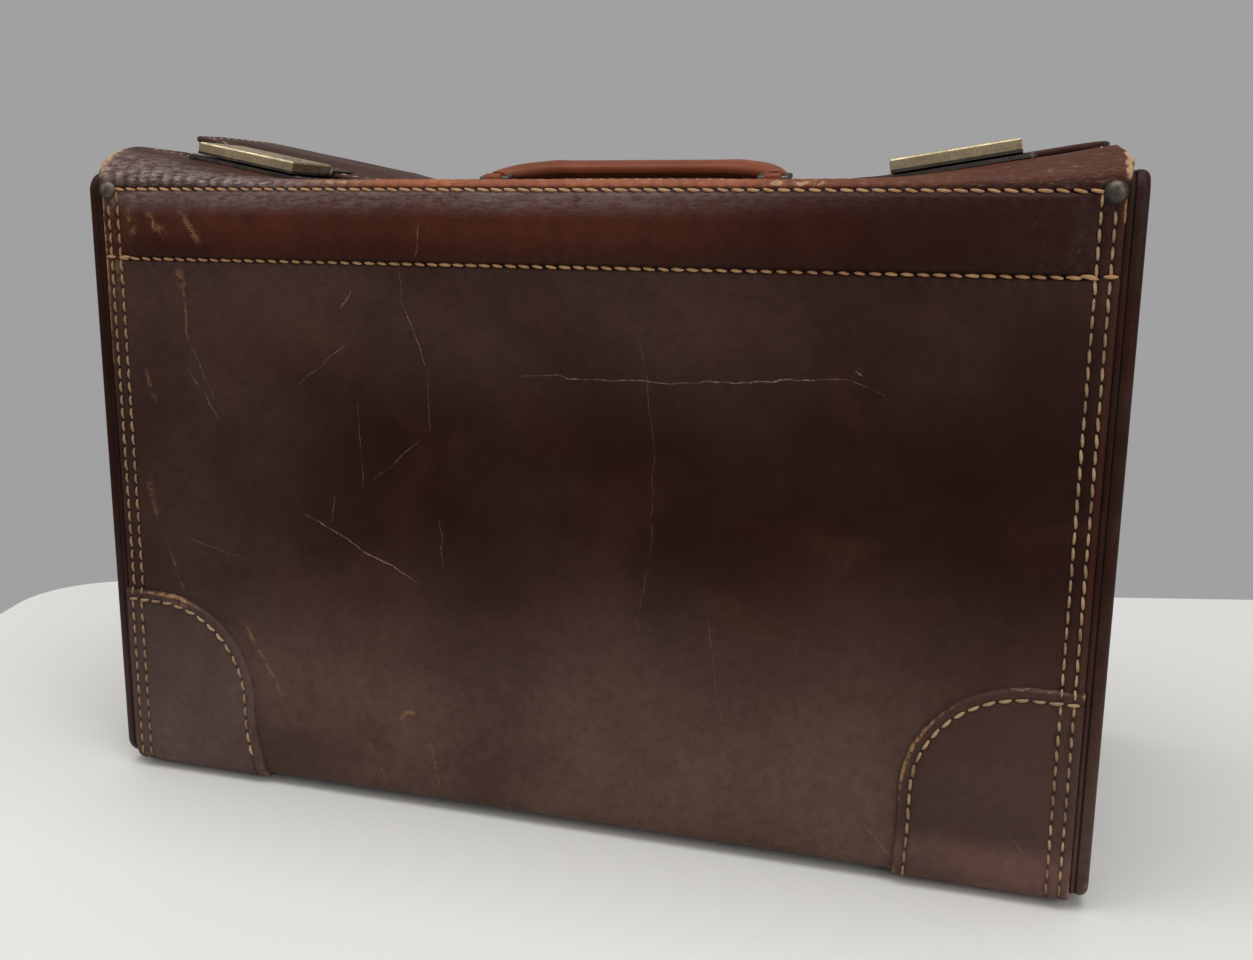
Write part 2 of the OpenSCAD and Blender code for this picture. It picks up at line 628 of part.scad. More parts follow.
// Case: open below, with two guide rails for the bolt and a bore for the key plug
module lock_case(side) at_lock(side) translate([0, 0, plate_t]) {
    inner_h = lock_h - lock_wall;
    rail_y = bolt_w / 2 + slide_gap;
    difference() {
        bevelled_slab(lock_l, lock_w, lock_h, lock_bevel);
        translate([-lock_l / 2 + lock_wall, -lock_w / 2 + lock_wall, -1])
            cube([lock_l - 2 * lock_wall, lock_w - 2 * lock_wall, inner_h + 1]);
        translate([plug_x, 0, 0]) cylinder(r = plug_r + pivot_gap, h = lock_h + 1);
    }
    for (y = [rail_y, -rail_y - 1.5])
        translate([bolt_tip_x - bolt_l, y, 0]) cube([bolt_l - 4, 1.5, inner_h + 0.2]);
}
module lock_case_left() color("#8d7c4a") lock_case(-1);
module lock_case_right() color("#8d7c4a") lock_case(1);

// Bolt: slides outwards through the staple's eye, driven by the cam pin in its cross slot
module lock_bolt(side) at_lock(side) translate([0, 0, plate_t + slide_gap]) difference() {
    nose = bolt_w - 2;
    union() {
        translate([bolt_tip_x - bolt_l, -bolt_w / 2, 0]) cube([bolt_l - 5, bolt_w, bolt_t]);
        translate([bolt_tip_x - 6, -nose / 2, 0]) cube([6, nose, bolt_t]);
    }
    slot_half = cam_pin_r + 0.25;
    slot_y0 = cam_throw * cos(45) - slot_half - 0.1;
    slot_y1 = cam_throw + slot_half;
    translate([plug_x - cam_travel / 2 - slot_half, slot_y0, -1]) cube([2 * slot_half, slot_y1 - slot_y0, bolt_t + 2]);
}
module lock_bolt_left() color("#8c8e8f") lock_bolt(-1);
module lock_bolt_right() color("#8c8e8f") lock_bolt(1);

// Key plug: flanged under the case's top, with a key slot above and a cam pin below
module key_plug(side) at_lock(side) {
    top = plate_t + lock_h + 0.3;
    translate([plug_x, 0, 0]) {
        difference() {
            union() {
                translate([0, 0, plug_low_w]) cylinder(r = plug_r, h = top - plug_low_w);
                translate([0, 0, plug_low_w])
                    cylinder(r = plug_r + 0.7, h = plate_t + lock_h - lock_wall - slide_gap - plug_low_w);
            }
            rotate([0, 0, 45]) translate([-2.6, -0.5, top - 1.4]) cube([5.2, 1, 2]);
        }
        translate([-cam_throw * sin(45), cam_throw * cos(45), plate_t + 2 * slide_gap])
            cylinder(r = cam_pin_r, h = plug_low_w - plate_t);
    }
}
module key_plug_left() color("#9a8a55") key_plug(-1);
module key_plug_right() color("#9a8a55") key_plug(1);

// Handle, folded back flat; in its own frame x runs along the pivot and y is the reach from it

module at_handle() translate([0, handle_y, handle_z]) children();
module on_handle() at_handle() rotate([handle_lean, 0, 0]) children();

// Mount: a riveted base plate with a round lug whose bore carries the ring
module handle_mount(side) at_handle() translate([side * mount_x, 0, 0]) difference() {
    lug_r = ring_r + 1.3;
    lug_l = ring_gap - 2;
    union() {
        translate([0, 0, seat_gap - pivot_rise]) rounded_plate(2 * mount_half_l, mount_w, mount_t, 4);
        rotate([0, 90, 0]) translate([0, 0, -lug_l / 2]) cylinder(r = lug_r, h = lug_l);
        translate([-lug_l / 2, -lug_r, seat_gap - pivot_rise]) cube([lug_l, 2 * lug_r, pivot_rise - seat_gap]);
    }
    rotate([0, 90, 0]) translate([0, 0, -lug_l]) cylinder(r = ring_r + pivot_gap, h = 2 * lug_l);
    for (x = [-1, 1]) plate_hole(x * mount_rivet_x, 0, seat_gap - pivot_rise, mount_t);
}
module handle_mount_left() color("#8d7c4a") handle_mount(-1);
module handle_mount_right() color("#8d7c4a") handle_mount(1);

module handle_backing_plate() color("#7d7f80") at_handle() difference() {
    top = -pivot_rise - flap_t - flap_lining_t - 2 * skin_gap;
    translate([0, 0, top - backing_t]) rounded_plate(2 * (mount_x + mount_half_l + 2), backing_w, backing_t, 5);
    for (side = [-1, 1], x = [-1, 1])
        plate_hole(side * mount_x + x * mount_rivet_x, 0, top - backing_t, backing_t);
}

module handle_rivets() color("#8d7c4a") at_handle()
    for (side = [-1, 1], x = [-1, 1])
        translate([side * mount_x + x * mount_rivet_x, 0, seat_gap - pivot_rise + mount_t])
            rivet(rivet_head_r, rivet_head_h,
                mount_t + seat_gap + flap_t + flap_lining_t + 2 * skin_gap + backing_t);

// Rectangular ring of round wire, through the mount's lug and the handle's end
module handle_ring(side) on_handle() translate([side * mount_x, 0, 0]) {
    half = ring_gap / 2 + ring_r;
    for (y = [0, ring_reach]) translate([-half, y, 0]) rotate([0, 90, 0]) cylinder(r = ring_r, h = 2 * half);
    for (x = [-half, half]) {
        translate([x, 0, 0]) across(0, ring_reach, ring_r);
        for (y = [0, ring_reach]) translate([x, y, 0]) sphere(r = ring_r);
    }
}
module handle_ring_left() color("#8d7c4a") handle_ring(-1);
module handle_ring_right() color("#8d7c4a") handle_ring(1);

// Middle line of the handle: out of one ring, round the shoulder, along the grip and back.
// t runs from -1 to 1; the shoulder is a quarter of an ellipse.
shoulder_x = mount_x - grip_l / 2;
function handle_line(start) = let (half = concat(
    [[mount_x, start]],
    [for (i = [0 : 6]) let (a = 90 * i / 6)
        [grip_l / 2 + shoulder_x * cos(a), ring_reach + 1 + (handle_rise - ring_reach - 1) * sin(a)]],
    [[grip_l / 4, handle_rise]]))
    concat([for (p = half) [-p[0], p[1]]], [[0, handle_rise]], reversed(half));

// Tube of flattened oval section along a line in the plane; widths and thicknesses per point
module flat_tube(line, widths, thicknesses, sides) {
    n = len(line);
    rings = [for (i = [0 : n - 1])
        let (t = line[min(n - 1, i + 1)] - line[max(0, i - 1)], u = t / norm(t), side = [-u[1], u[0]])
        [for (k = [0 : sides - 1]) let (a = 360 * k / sides)
            [line[i][0] + side[0] * widths[i] / 2 * cos(a), line[i][1] + side[1] * widths[i] / 2 * cos(a),
                thicknesses[i] / 2 * sin(a)]]];
    faces = concat(
        [[for (k = [0 : sides - 1]) k]],
        [for (i = [0 : n - 2], k = [0 : sides - 1])
            let (a = i * sides + k, b = i * sides + (k + 1) % sides) each
            [[a, a + sides, b], [b, a + sides, b + sides]]],
        [[for (k = [sides - 1 : -1 : 0]) (n - 1) * sides + k]]
    );
    polyhedron(points = [for (ring = rings) each ring], faces = faces, convexity = 6);
}

// Share of the full grip section at each point of the handle's line, small at the ring ends
function grip_share(line, i) = smooth((line[i][1] - ring_reach + 4) / (handle_rise - ring_reach));

module handle_grip() color("#8a4420") on_handle() {
    line = handle_line(ring_r + 3.2);
    end_w = ring_gap - 0.8;
    end_t = 5.6;
    flat_tube(line,
        [for (i = [0 : len(line) - 1]) end_w + (grip_w - end_w) * grip_share(line, i)],
        [for (i = [0 : len(line) - 1]) end_t + (grip_t - end_t) * grip_share(line, i)], 18);
}

module handle_core() color("#7d7f80") on_handle() {
    line = handle_line(ring_reach - ring_r / 2);
    flat_tube(line, [for (p = line) 5], [for (p = line) 1.6], 8);
}

bottom_board();
bottom_leather();
front_board();
front_panel();
back_board();
back_panel();
left_end_board();
right_end_board();
left_end_panel();
right_end_panel();
left_end_cap();
right_end_cap();
lining();
frame_bar_front();
frame_bar_back();
frame_bar_left();
frame_bar_right();
frame_rivets();
corner_patch_front_left();
corner_patch_front_right();
corner_patch_back_left();
corner_patch_back_right();
corner_rivets();
feet();
front_flap();
front_flap_lining();
strike_plate_left();
strike_plate_right();
strike_rivets();
rear_flap();
rear_flap_lining();
lock_back_plate_left();
lock_back_plate_right();
lock_case_left();
lock_case_right();
lock_rivets();
lock_bolt_left();
lock_bolt_right();
key_plug_left();
key_plug_right();
handle_mount_left();
handle_mount_right();
handle_backing_plate();
handle_rivets();
handle_ring_left();
handle_ring_right();
handle_core();
handle_grip();
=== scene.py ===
"""Pilot case in mahogany hide: the leather, thread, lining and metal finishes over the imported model.

Sizes are in millimetres and repeat the named values of the construction source. Meshes are made in
metres in the model's own frame: X along the case, the front towards -Y, Z up from the table.
"""

from __future__ import annotations

import json
import logging
import math
from dataclasses import dataclass
from enum import Enum
from typing import Sequence

import bmesh
import bpy
import numpy as np
from mathutils import Matrix, Vector

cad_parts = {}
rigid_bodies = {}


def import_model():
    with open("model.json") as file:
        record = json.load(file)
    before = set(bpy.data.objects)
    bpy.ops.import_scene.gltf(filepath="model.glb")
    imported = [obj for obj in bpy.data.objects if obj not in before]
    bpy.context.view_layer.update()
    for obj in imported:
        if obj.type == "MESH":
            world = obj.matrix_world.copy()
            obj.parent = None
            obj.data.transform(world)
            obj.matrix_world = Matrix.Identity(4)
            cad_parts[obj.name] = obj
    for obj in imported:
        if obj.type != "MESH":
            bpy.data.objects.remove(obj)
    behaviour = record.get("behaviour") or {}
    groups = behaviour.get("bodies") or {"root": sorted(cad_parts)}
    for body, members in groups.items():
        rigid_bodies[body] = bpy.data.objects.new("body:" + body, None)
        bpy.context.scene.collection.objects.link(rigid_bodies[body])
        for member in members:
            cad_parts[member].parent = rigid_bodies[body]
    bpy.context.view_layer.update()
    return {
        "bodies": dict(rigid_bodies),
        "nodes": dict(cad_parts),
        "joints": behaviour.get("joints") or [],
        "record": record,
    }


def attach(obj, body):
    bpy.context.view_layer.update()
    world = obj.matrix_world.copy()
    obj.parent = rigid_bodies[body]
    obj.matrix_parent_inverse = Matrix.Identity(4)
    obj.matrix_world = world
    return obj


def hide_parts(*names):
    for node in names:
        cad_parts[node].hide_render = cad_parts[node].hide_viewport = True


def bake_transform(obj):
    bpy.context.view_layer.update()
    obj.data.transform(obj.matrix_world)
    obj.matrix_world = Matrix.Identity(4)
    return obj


LOG = logging.getLogger("pilot_case")
MM = 0.001
# Length of a stitch with its gap, how far a mark strays from its drawn line, and the gap that a merge closes
PITCH = 6.2
WANDER = 2.6
MERGE = 2e-6

Array = np.ndarray
Colour = tuple[float, float, float]
Term = object
Socket = bpy.types.NodeSocket
Item = bpy.types.Object
Material = bpy.types.Material

CORNERS = ((1, 1), (-1, 1), (-1, -1), (1, -1))


class Side(Enum):
    """Front or back of the case, as the sign of Y."""

    FRONT = -1
    BACK = 1


class End(Enum):
    """Left or right end of the case, as the sign of X."""

    LEFT = -1
    RIGHT = 1


def smooth(t: Array | float) -> Array:
    """Smooth step from 0 to 1 over t from 0 to 1."""
    c = np.clip(t, 0.0, 1.0)
    return c * c * (3 - 2 * c)


def bell(distance: Array | float, width: float) -> Array:
    """Rounded bump of height 1 at distance 0."""
    return np.exp(-((np.asarray(distance) / width) ** 2))


def beat(place: Array) -> Array:
    """Wave with its crests between the stitches of a row."""
    return np.cos(2 * math.pi * place / PITCH)


def unit(run: Array) -> Array:
    """Directions made one long."""
    return run / np.linalg.norm(run, axis=-1, keepdims=True)


def ripple(u: Array, v: Array, seed: int) -> Array:
    """Gentle uneven waves with a period of about 1, the same on each run.

    Args:
        u: First coordinate.
        v: Second coordinate.
        seed: Number that picks the waves.

    Returns:
        Heights from about -1 to 1.
    """
    source = np.random.default_rng(seed)
    total = np.zeros(np.broadcast(u, v).shape)
    for octave in range(3):
        for _ in range(3):
            angle, phase = source.uniform(0, 2 * math.pi, 2)
            pace = 2 * math.pi * 1.9**octave * source.uniform(0.8, 1.2)
            total = total + np.sin(pace * (math.cos(angle) * u + math.sin(angle) * v) + phase) / 1.7**octave
    return total / 3.4


# Meshes


def plain_object(name: str, mesh: bpy.types.Mesh) -> Item:
    """Links a mesh to the scene as an object at the origin."""
    made = bpy.data.objects.new(name, mesh)
    bpy.context.scene.collection.objects.link(made)
    return made


def shaded(mesh: bpy.types.Mesh, sharp: float = 42.0) -> bpy.types.Mesh:
    """Smooth shading with edges kept sharp beyond an angle in degrees."""
    mesh.polygons.foreach_set("use_smooth", np.ones(len(mesh.polygons), bool))
    mesh.set_sharp_from_angle(angle=math.radians(sharp))
    return mesh


def mesh_of(name: str, points: Array, faces: list, traits: dict[str, Array], material: Material) -> Item:
    """Makes a closed mesh from points in millimetres, with its faces pointing outwards.

    Args:
        name: Name of the piece.
        points: Points, one row each.
        faces: Faces as lists of point numbers, all turned the same way.
        traits: Named values per point, which the finishes read.
        material: Finish of the piece.

    Returns:
        The new object.
    """
    first, volume = np.asarray(points, float), 0.0
    for face in faces:
        a = first[face[0]]
        for k in range(1, len(face) - 1):
            volume += float(np.dot(a, np.cross(first[face[k]], first[face[k + 1]])))
    if volume < 0:
        faces = [list(reversed(face)) for face in faces]
    mesh = bpy.data.meshes.new(name)
    mesh.from_pydata((first * MM).tolist(), [], faces)
    for key, values in traits.items():
        layer = mesh.attributes.new(key, "FLOAT", "POINT")
        layer.data.foreach_set("value", np.asarray(values, np.float32).ravel())
    mesh.validate()
    mesh.materials.append(material)
    return plain_object(name, shaded(mesh))


def quads(rows: int, columns: int, offset: int = 0, wrap: bool = False) -> Array:
    """Faces of a grid of points, numbered row by row.

    Args:
        rows: Number of rows.
        columns: Points in a row.
        offset: Number of the first point.
        wrap: Whether the last column joins the first.

    Returns:
        One face in each row of the result.
    """
    i, j = np.meshgrid(np.arange(rows - 1), np.arange(columns if wrap else columns - 1), indexing="ij")
    k = (j + 1) % columns
    grid = np.stack([i * columns + j, i * columns + k, (i + 1) * columns + k, (i + 1) * columns + j], -1)
    return grid.reshape(-1, 4) + offset


def shell(name: str, outer: Array, inner: Array, traits: dict[str, Array], material: Material) -> Item:
    """Closes the space between two grids of points into one sheet of leather or cloth.

    Args:
        name: Name of the piece.
        outer: Grid of points of the grain side, rows by columns by 3.
        inner: Grid of the flesh side, of the same shape.
        traits: Named values per grid point.
        material: Finish of the piece.

    Returns:
        The new object.
    """
    rows, columns = outer.shape[:2]
    count = rows * columns
    rim = (
        [(0, j) for j in range(columns)]
        + [(i, columns - 1) for i in range(1, rows)]
        + [(rows - 1, j) for j in range(columns - 2, -1, -1)]
        + [(i, 0) for i in range(rows - 2, 0, -1)]
    )
    loop = [i * columns + j for i, j in rim]
    walls = [[b, a, a + count, b + count] for a, b in zip(loop, loop[1:] + loop[:1])]
    faces = quads(rows, columns).tolist() + quads(rows, columns, count)[:, ::-1].tolist() + walls
    points = np.concatenate([outer.reshape(-1, 3), inner.reshape(-1, 3)])
    both = {key: np.concatenate([v.ravel(), v.ravel()]) for key, v in traits.items()}
    return mesh_of(name, points, faces, both, material)


def tube(name: str, rings: Array, traits: dict[str, Array], material: Material, ring_closed: bool = False) -> Item:
    """Skins a row of closed rings, with flat ends unless the row itself closes.

    Args:
        name: Name of the piece.
        rings: Rings by points by 3.
        traits: Named values per point.
        material: Finish of the piece.
        ring_closed: Whether the last ring joins the first.

    Returns:
        The new object.
    """
    count, sides = rings.shape[:2]
    faces = quads(count, sides, wrap=True).tolist()
    if ring_closed:
        last = (count - 1) * sides
        faces += [[last + k, last + (k + 1) % sides, (k + 1) % sides, k] for k in range(sides)]
    else:
        faces += [list(range(sides - 1, -1, -1)), [(count - 1) * sides + k for k in range(sides)]]
    return mesh_of(name, rings.reshape(-1, 3), faces, traits, material)


def rounded_loop(half_a: float, half_b: float, r: float, bends: int, straights: int) -> Array:
    """Points round a rectangle with rounded corners.

    Args:
        half_a: Half of its first side.
        half_b: Half of its second side.
        r: Radius of its corners.
        bends: Points along a corner.
        straights: Points along a side.

    Returns:
        The points as two columns.
    """
    points = []
    for k, corner in enumerate(CORNERS):
        inner = (half_a - r, half_b - r)
        middle = np.multiply(corner, inner)
        turn = np.radians(90 * (k + np.arange(bends + 1) / bends))
        arc = middle + r * np.stack([np.cos(turn), np.sin(turn)], -1)
        away = np.multiply(CORNERS[(k + 1) % 4], inner) - middle
        points += [arc[:-1], arc[-1] + away * np.arange(straights)[:, None] / straights]
    return np.concatenate(points)


def bake(made: Item) -> None:
    """Turns an object's modifiers into a plain mesh."""
    baked = bpy.data.meshes.new_from_object(made.evaluated_get(bpy.context.evaluated_depsgraph_get()))
    made.modifiers.clear()
    made.data = baked


# Node trees


class Value:
    """Output of a node that works in sums like a number."""

    def __init__(self, graph: Graph, socket: Socket) -> None:
        """Keeps the output, and the graph that new steps are added to."""
        self.graph, self.socket = graph, socket

    def __mul__(self, other: Term) -> Value:
        """Product."""
        return self.graph.calc("MULTIPLY", self, other)

    def __add__(self, other: Term) -> Value:
        """Sum."""
        return self.graph.calc("ADD", self, other)

    def __sub__(self, other: Term) -> Value:
        """Difference."""
        return self.graph.calc("SUBTRACT", self, other)

    def __rsub__(self, other: Term) -> Value:
        """Difference, taken from the other."""
        return self.graph.calc("SUBTRACT", other, self)

    def most(self, other: Term) -> Value:
        """Greater of the two."""
        return self.graph.calc("MAXIMUM", self, other)

    def window(self, low: float, high: float, out: tuple[float, float] = (0.0, 1.0)) -> Value:
        """Maps a range smoothly onto another one."""
        span = {"Value": self, "From Min": low, "From Max": high, "To Min": out[0], "To Max": out[1]}
        node = self.graph.add("ShaderNodeMapRange", at=span, interpolation_type="SMOOTHSTEP")
        return Value(self.graph, node.outputs["Result"])


class Graph:
    """Node tree under work."""

    def __init__(self, tree: bpy.types.NodeTree) -> None:
        """Takes the tree."""
        self.nodes, self.links = tree.nodes, tree.links

    def plug(self, term: Term, socket: Socket) -> None:
        """Sets a socket to a number or colour, or links an output to it."""
        if isinstance(term, Value):
            term = term.socket
        if isinstance(term, Socket):
            self.links.new(term, socket)
        elif isinstance(term, tuple) and len(term) == 3 and socket.type == "RGBA":
            socket.default_value = (*term, 1.0)
        else:
            socket.default_value = term

    def add(self, kind: str, *terms: Term, at: dict | None = None, **settings: object) -> bpy.types.Node:
        """Adds a node.

        Args:
            kind: Type of the node.
            terms: What its first inputs get, in order. None leaves an input as it is.
            at: What other inputs get, by name or number.
            settings: The node's own properties.

        Returns:
            The node.
        """
        node = self.nodes.new(kind)
        for name, value in settings.items():
            setattr(node, name, value)
        for key, term in [*enumerate(terms), *(at or {}).items()]:
            if term is not None:
                self.plug(term, node.inputs[key])
        return node

    def calc(self, how: str, a: Term, b: Term = None) -> Value:
        """One step of arithmetic."""
        return Value(self, self.add("ShaderNodeMath", a, b, operation=how).outputs[0])


class Bench(Graph):
    """Builds one node material step by step."""

    def __init__(self, name: str) -> None:
        """Starts a material with a Principled shader and the object's own coordinates."""
        self.material = bpy.data.materials.new(name)
        self.material.use_nodes = True
        super().__init__(self.material.node_tree)
        self.shader = self.nodes["Principled BSDF"]
        self.place = self.nodes.new("ShaderNodeTexCoord").outputs["Object"]

    def axes(self) -> tuple[Value, Value]:
        """The object's own x and z."""
        outputs = self.add("ShaderNodeSeparateXYZ", self.place).outputs
        return Value(self, outputs["X"]), Value(self, outputs["Z"])

    def trait(self, name: str) -> Value:
        """Value that the mesh carries per point."""
        return Value(self, self.add("ShaderNodeAttribute", attribute_name=name).outputs["Fac"])

    def stretched(self, pace: Colour, turn: Colour = (0, 0, 0)) -> Socket:
        """Object coordinates scaled per axis, after a turn in degrees."""
        fit = {"Vector": self.place, "Rotation": tuple(math.radians(a) for a in turn),
               "Scale": tuple(1 / s for s in pace)}
        return self.add("ShaderNodeMapping", at=fit, vector_type="TEXTURE").outputs["Vector"]

    def noise(self, scale: float, detail: float = 3, rough: float = 0.5, warp: float = 0, at: Term = None) -> Value:
        """Noise from 0 to 1.

        Args:
            scale: Features per metre.
            detail: Octaves.
            rough: Share of each finer octave.
            warp: Distortion.
            at: Coordinates, if not the plain ones.

        Returns:
            The noise.
        """
        fit = {"Vector": at or self.place, "Scale": scale, "Detail": detail, "Roughness": rough, "Distortion": warp}
        return Value(self, self.add("ShaderNodeTexNoise", at=fit).outputs["Fac"])

    def streaks(self, pace: Colour, detail: float = 3, rough: float = 0.5, warp: float = 0,
                turn: Colour = (0, 0, 0)) -> Value:
        """Noise with its own number of features per metre along each axis, turned in degrees."""
        return self.noise(1, detail, rough, warp, self.stretched(pace, turn))

    def blend(self, share: Term, a: Term, b: Term) -> Value:
        """Mixes two colours; the share is kept from 0 to 1."""
        return Value(self, self.add("ShaderNodeMix", at={0: share, 6: a, 7: b}, data_type="RGBA").outputs[2])

    def bump(self, height: Term, depth: float, strength: float = 1.0, under: Term = None) -> Socket:
        """Bump of the given depth in millimetres, over another one if given."""
        fit = {"Strength": strength, "Distance": depth * MM, "Height": height, "Normal": under}
        return self.add("ShaderNodeBump", at=fit).outputs["Normal"]

    def done(self, colour: Term, rough: Term, normal: Term, **sockets: Term) -> Material:
        """Wires the shader, sets its plain sockets and returns the material."""
        wired = {"Base Color": colour, "Roughness": rough, "Normal": normal}
        for name, term in (wired | sockets).items():
            self.plug(term, self.shader.inputs[name.replace("_", " ")])
        return self.material


# Finishes


@dataclass(frozen=True)
class Mark:
    """Scratch, scuff or painted edge highlight on the front: a line in X and Z, its width in millimetres, and how
    strong it is.
    """

    x0: float
    z0: float
    x1: float
    z1: float
    width: float
    strength: float
    tan: bool = False


FRONT_MARKS = tuple(Mark(*row) for row in (
    (-14, 205.1, 64, 205.4, 0.3, 0.5), (64, 205.4, 122, 209.7, 0.34, 0.7), (122, 209.7, 139, 204.1, 0.3, 0.55),
    (-120.6, 137.7, -63.1, 108.9, 0.36, 0.95), (-180.5, 246.1, -177.4, 212.1, 0.45, 0.6, True),
    (-177.4, 212.1, -165.6, 187.2, 0.3, 0.45), (-178.2, 200.5, -163.5, 178.0, 0.32, 0.5),
    (-69.9, 256.8, -68.6, 235.6, 0.25, 0.3), (-68.6, 235.6, -56.9, 205.8, 0.3, 0.6),
    (-56.9, 205.8, -56.5, 179.4, 0.25, 0.35), (-107.2, 134.5, -104.6, 147.0, 0.3, 0.4),
    (-157, 82, -136.6, 46.9, 0.9, 0.62, True), (-120.5, 196.2, -94.5, 217.4, 0.3, 0.42),
    (-98.9, 230.4, -94, 239.4, 0.6, 0.4), (-92.0, 190.9, -89.4, 150.2, 0.25, 0.4),
    (-84, 156, -61.5, 174.7, 0.25, 0.34), (-187, 121, -151.1, 112.1, 0.3, 0.32),
    (-196.1, 118.0, -188.2, 93.9, 0.8, 0.42, True), (-93.4, 32.5, -81.1, 6.7, 0.5, 0.4, True),
    (-59.8, 34.6, -55.2, 10.5, 0.4, 0.4, True), (-52.6, 139.3, -50.6, 116.6, 0.25, 0.32),
    (38.9, 226.3, 46.0, 177.0, 0.22, 0.22), (46.0, 177.0, 44.6, 129.7, 0.22, 0.25),
    (44.6, 129.7, 38.4, 93.7, 0.22, 0.22), (68.8, 114.6, 79.0, 53.5, 0.25, 0.25),
    (-74.9, 43.4, -68.1, 48.2, 1.3, 1.0, True), (-194.8, 272.6, -186.1, 260.2, 1.6, 0.75, True),
    (-177.0, 272.9, -166.4, 257.5, 1.5, 0.6, True), (-184.6, 261.1, -190.3, 265.0, 1.9, 0.7, True),
    (-206, 274, -201, 262, 2.6, 0.5, True), (-181, 247, -180, 239, 1.8, 0.6, True),
    (-58.5, 268, -60.5, 254, 0.4, 0.4), (126.7, 213.7, 129.5, 211.5, 0.5, 0.7),
    (-205, 150, -201, 128, 1.4, 0.4, True), (-203, 200, -198, 184, 1.2, 0.34, True),
    (138, 26, 150, 12, 0.4, 0.4),
))

# The first two rows, along the top of the right patches, are a painted highlight on the cut edge; the other rows are
# marks of wear.
PATCH_MARKS = tuple(Mark(*row) for row in (
    (166, 88.8, 188, 91.1, 0.6, 0.5), (188, 91.1, 216, 91.4, 0.6, 0.45),
    (155.2, 50, 156.4, 62, 0.7, 0.55, True), (156.4, 62, 164, 77, 0.6, 0.5, True),
    (-213, 91.2, -197, 90.8, 0.5, 0.35), (-199, 88.9, -186, 86.2, 1.3, 0.85, True),
    (-155.6, 40, -154, 22, 0.6, 0.4, True), (196, 30, 203, 22, 0.4, 0.3),
))


def scratch_group() -> bpy.types.NodeTree:
    """Node group that masks a line on the front, flat in Y and broken up along its length."""
    group = bpy.data.node_groups.new("line_mark", "ShaderNodeTree")
    kinds = {"Place": "Vector", "Start": "Vector", "Run": "Vector", "Width": "Float", "Strength": "Float",
             "Break": "Float"}
    for name, kind in kinds.items():
        group.interface.new_socket(name=name, in_out="INPUT", socket_type=f"NodeSocket{kind}")
    group.interface.new_socket(name="Mask", in_out="OUTPUT", socket_type="NodeSocketFloat")
    g = Graph(group)
    given = g.add("NodeGroupInput").outputs
    run = given["Run"]

    def vector(how: str, a: Socket, b: Socket | None, output: str, scale: Term = None) -> Socket:
        """One vector step."""
        return g.add("ShaderNodeVectorMath", a, b, at={"Scale": scale}, operation=how).outputs[output]

    reach = vector("SUBTRACT", given["Place"], given["Start"], "Vector")
    along = g.calc("DIVIDE", vector("DOT_PRODUCT", reach, run, "Value"), vector("DOT_PRODUCT", run, run, "Value"))
    held = g.calc("MINIMUM", along.most(0.0), 1.0)
    nearest = vector("SCALE", run, None, "Vector", held)
    off = vector("LENGTH", vector("SUBTRACT", reach, nearest, "Vector"), None, "Value")
    taper = g.calc("POWER", g.calc("SINE", held * math.pi), 0.4)
    edge = 1.0 - g.calc("DIVIDE", off, given["Width"])
    mask = edge.most(0.0) * taper.most(0.05) * 2.2 * given["Break"] * given["Strength"]
    g.add("NodeGroupOutput", g.calc("MINIMUM", mask, 1.0))
    return group


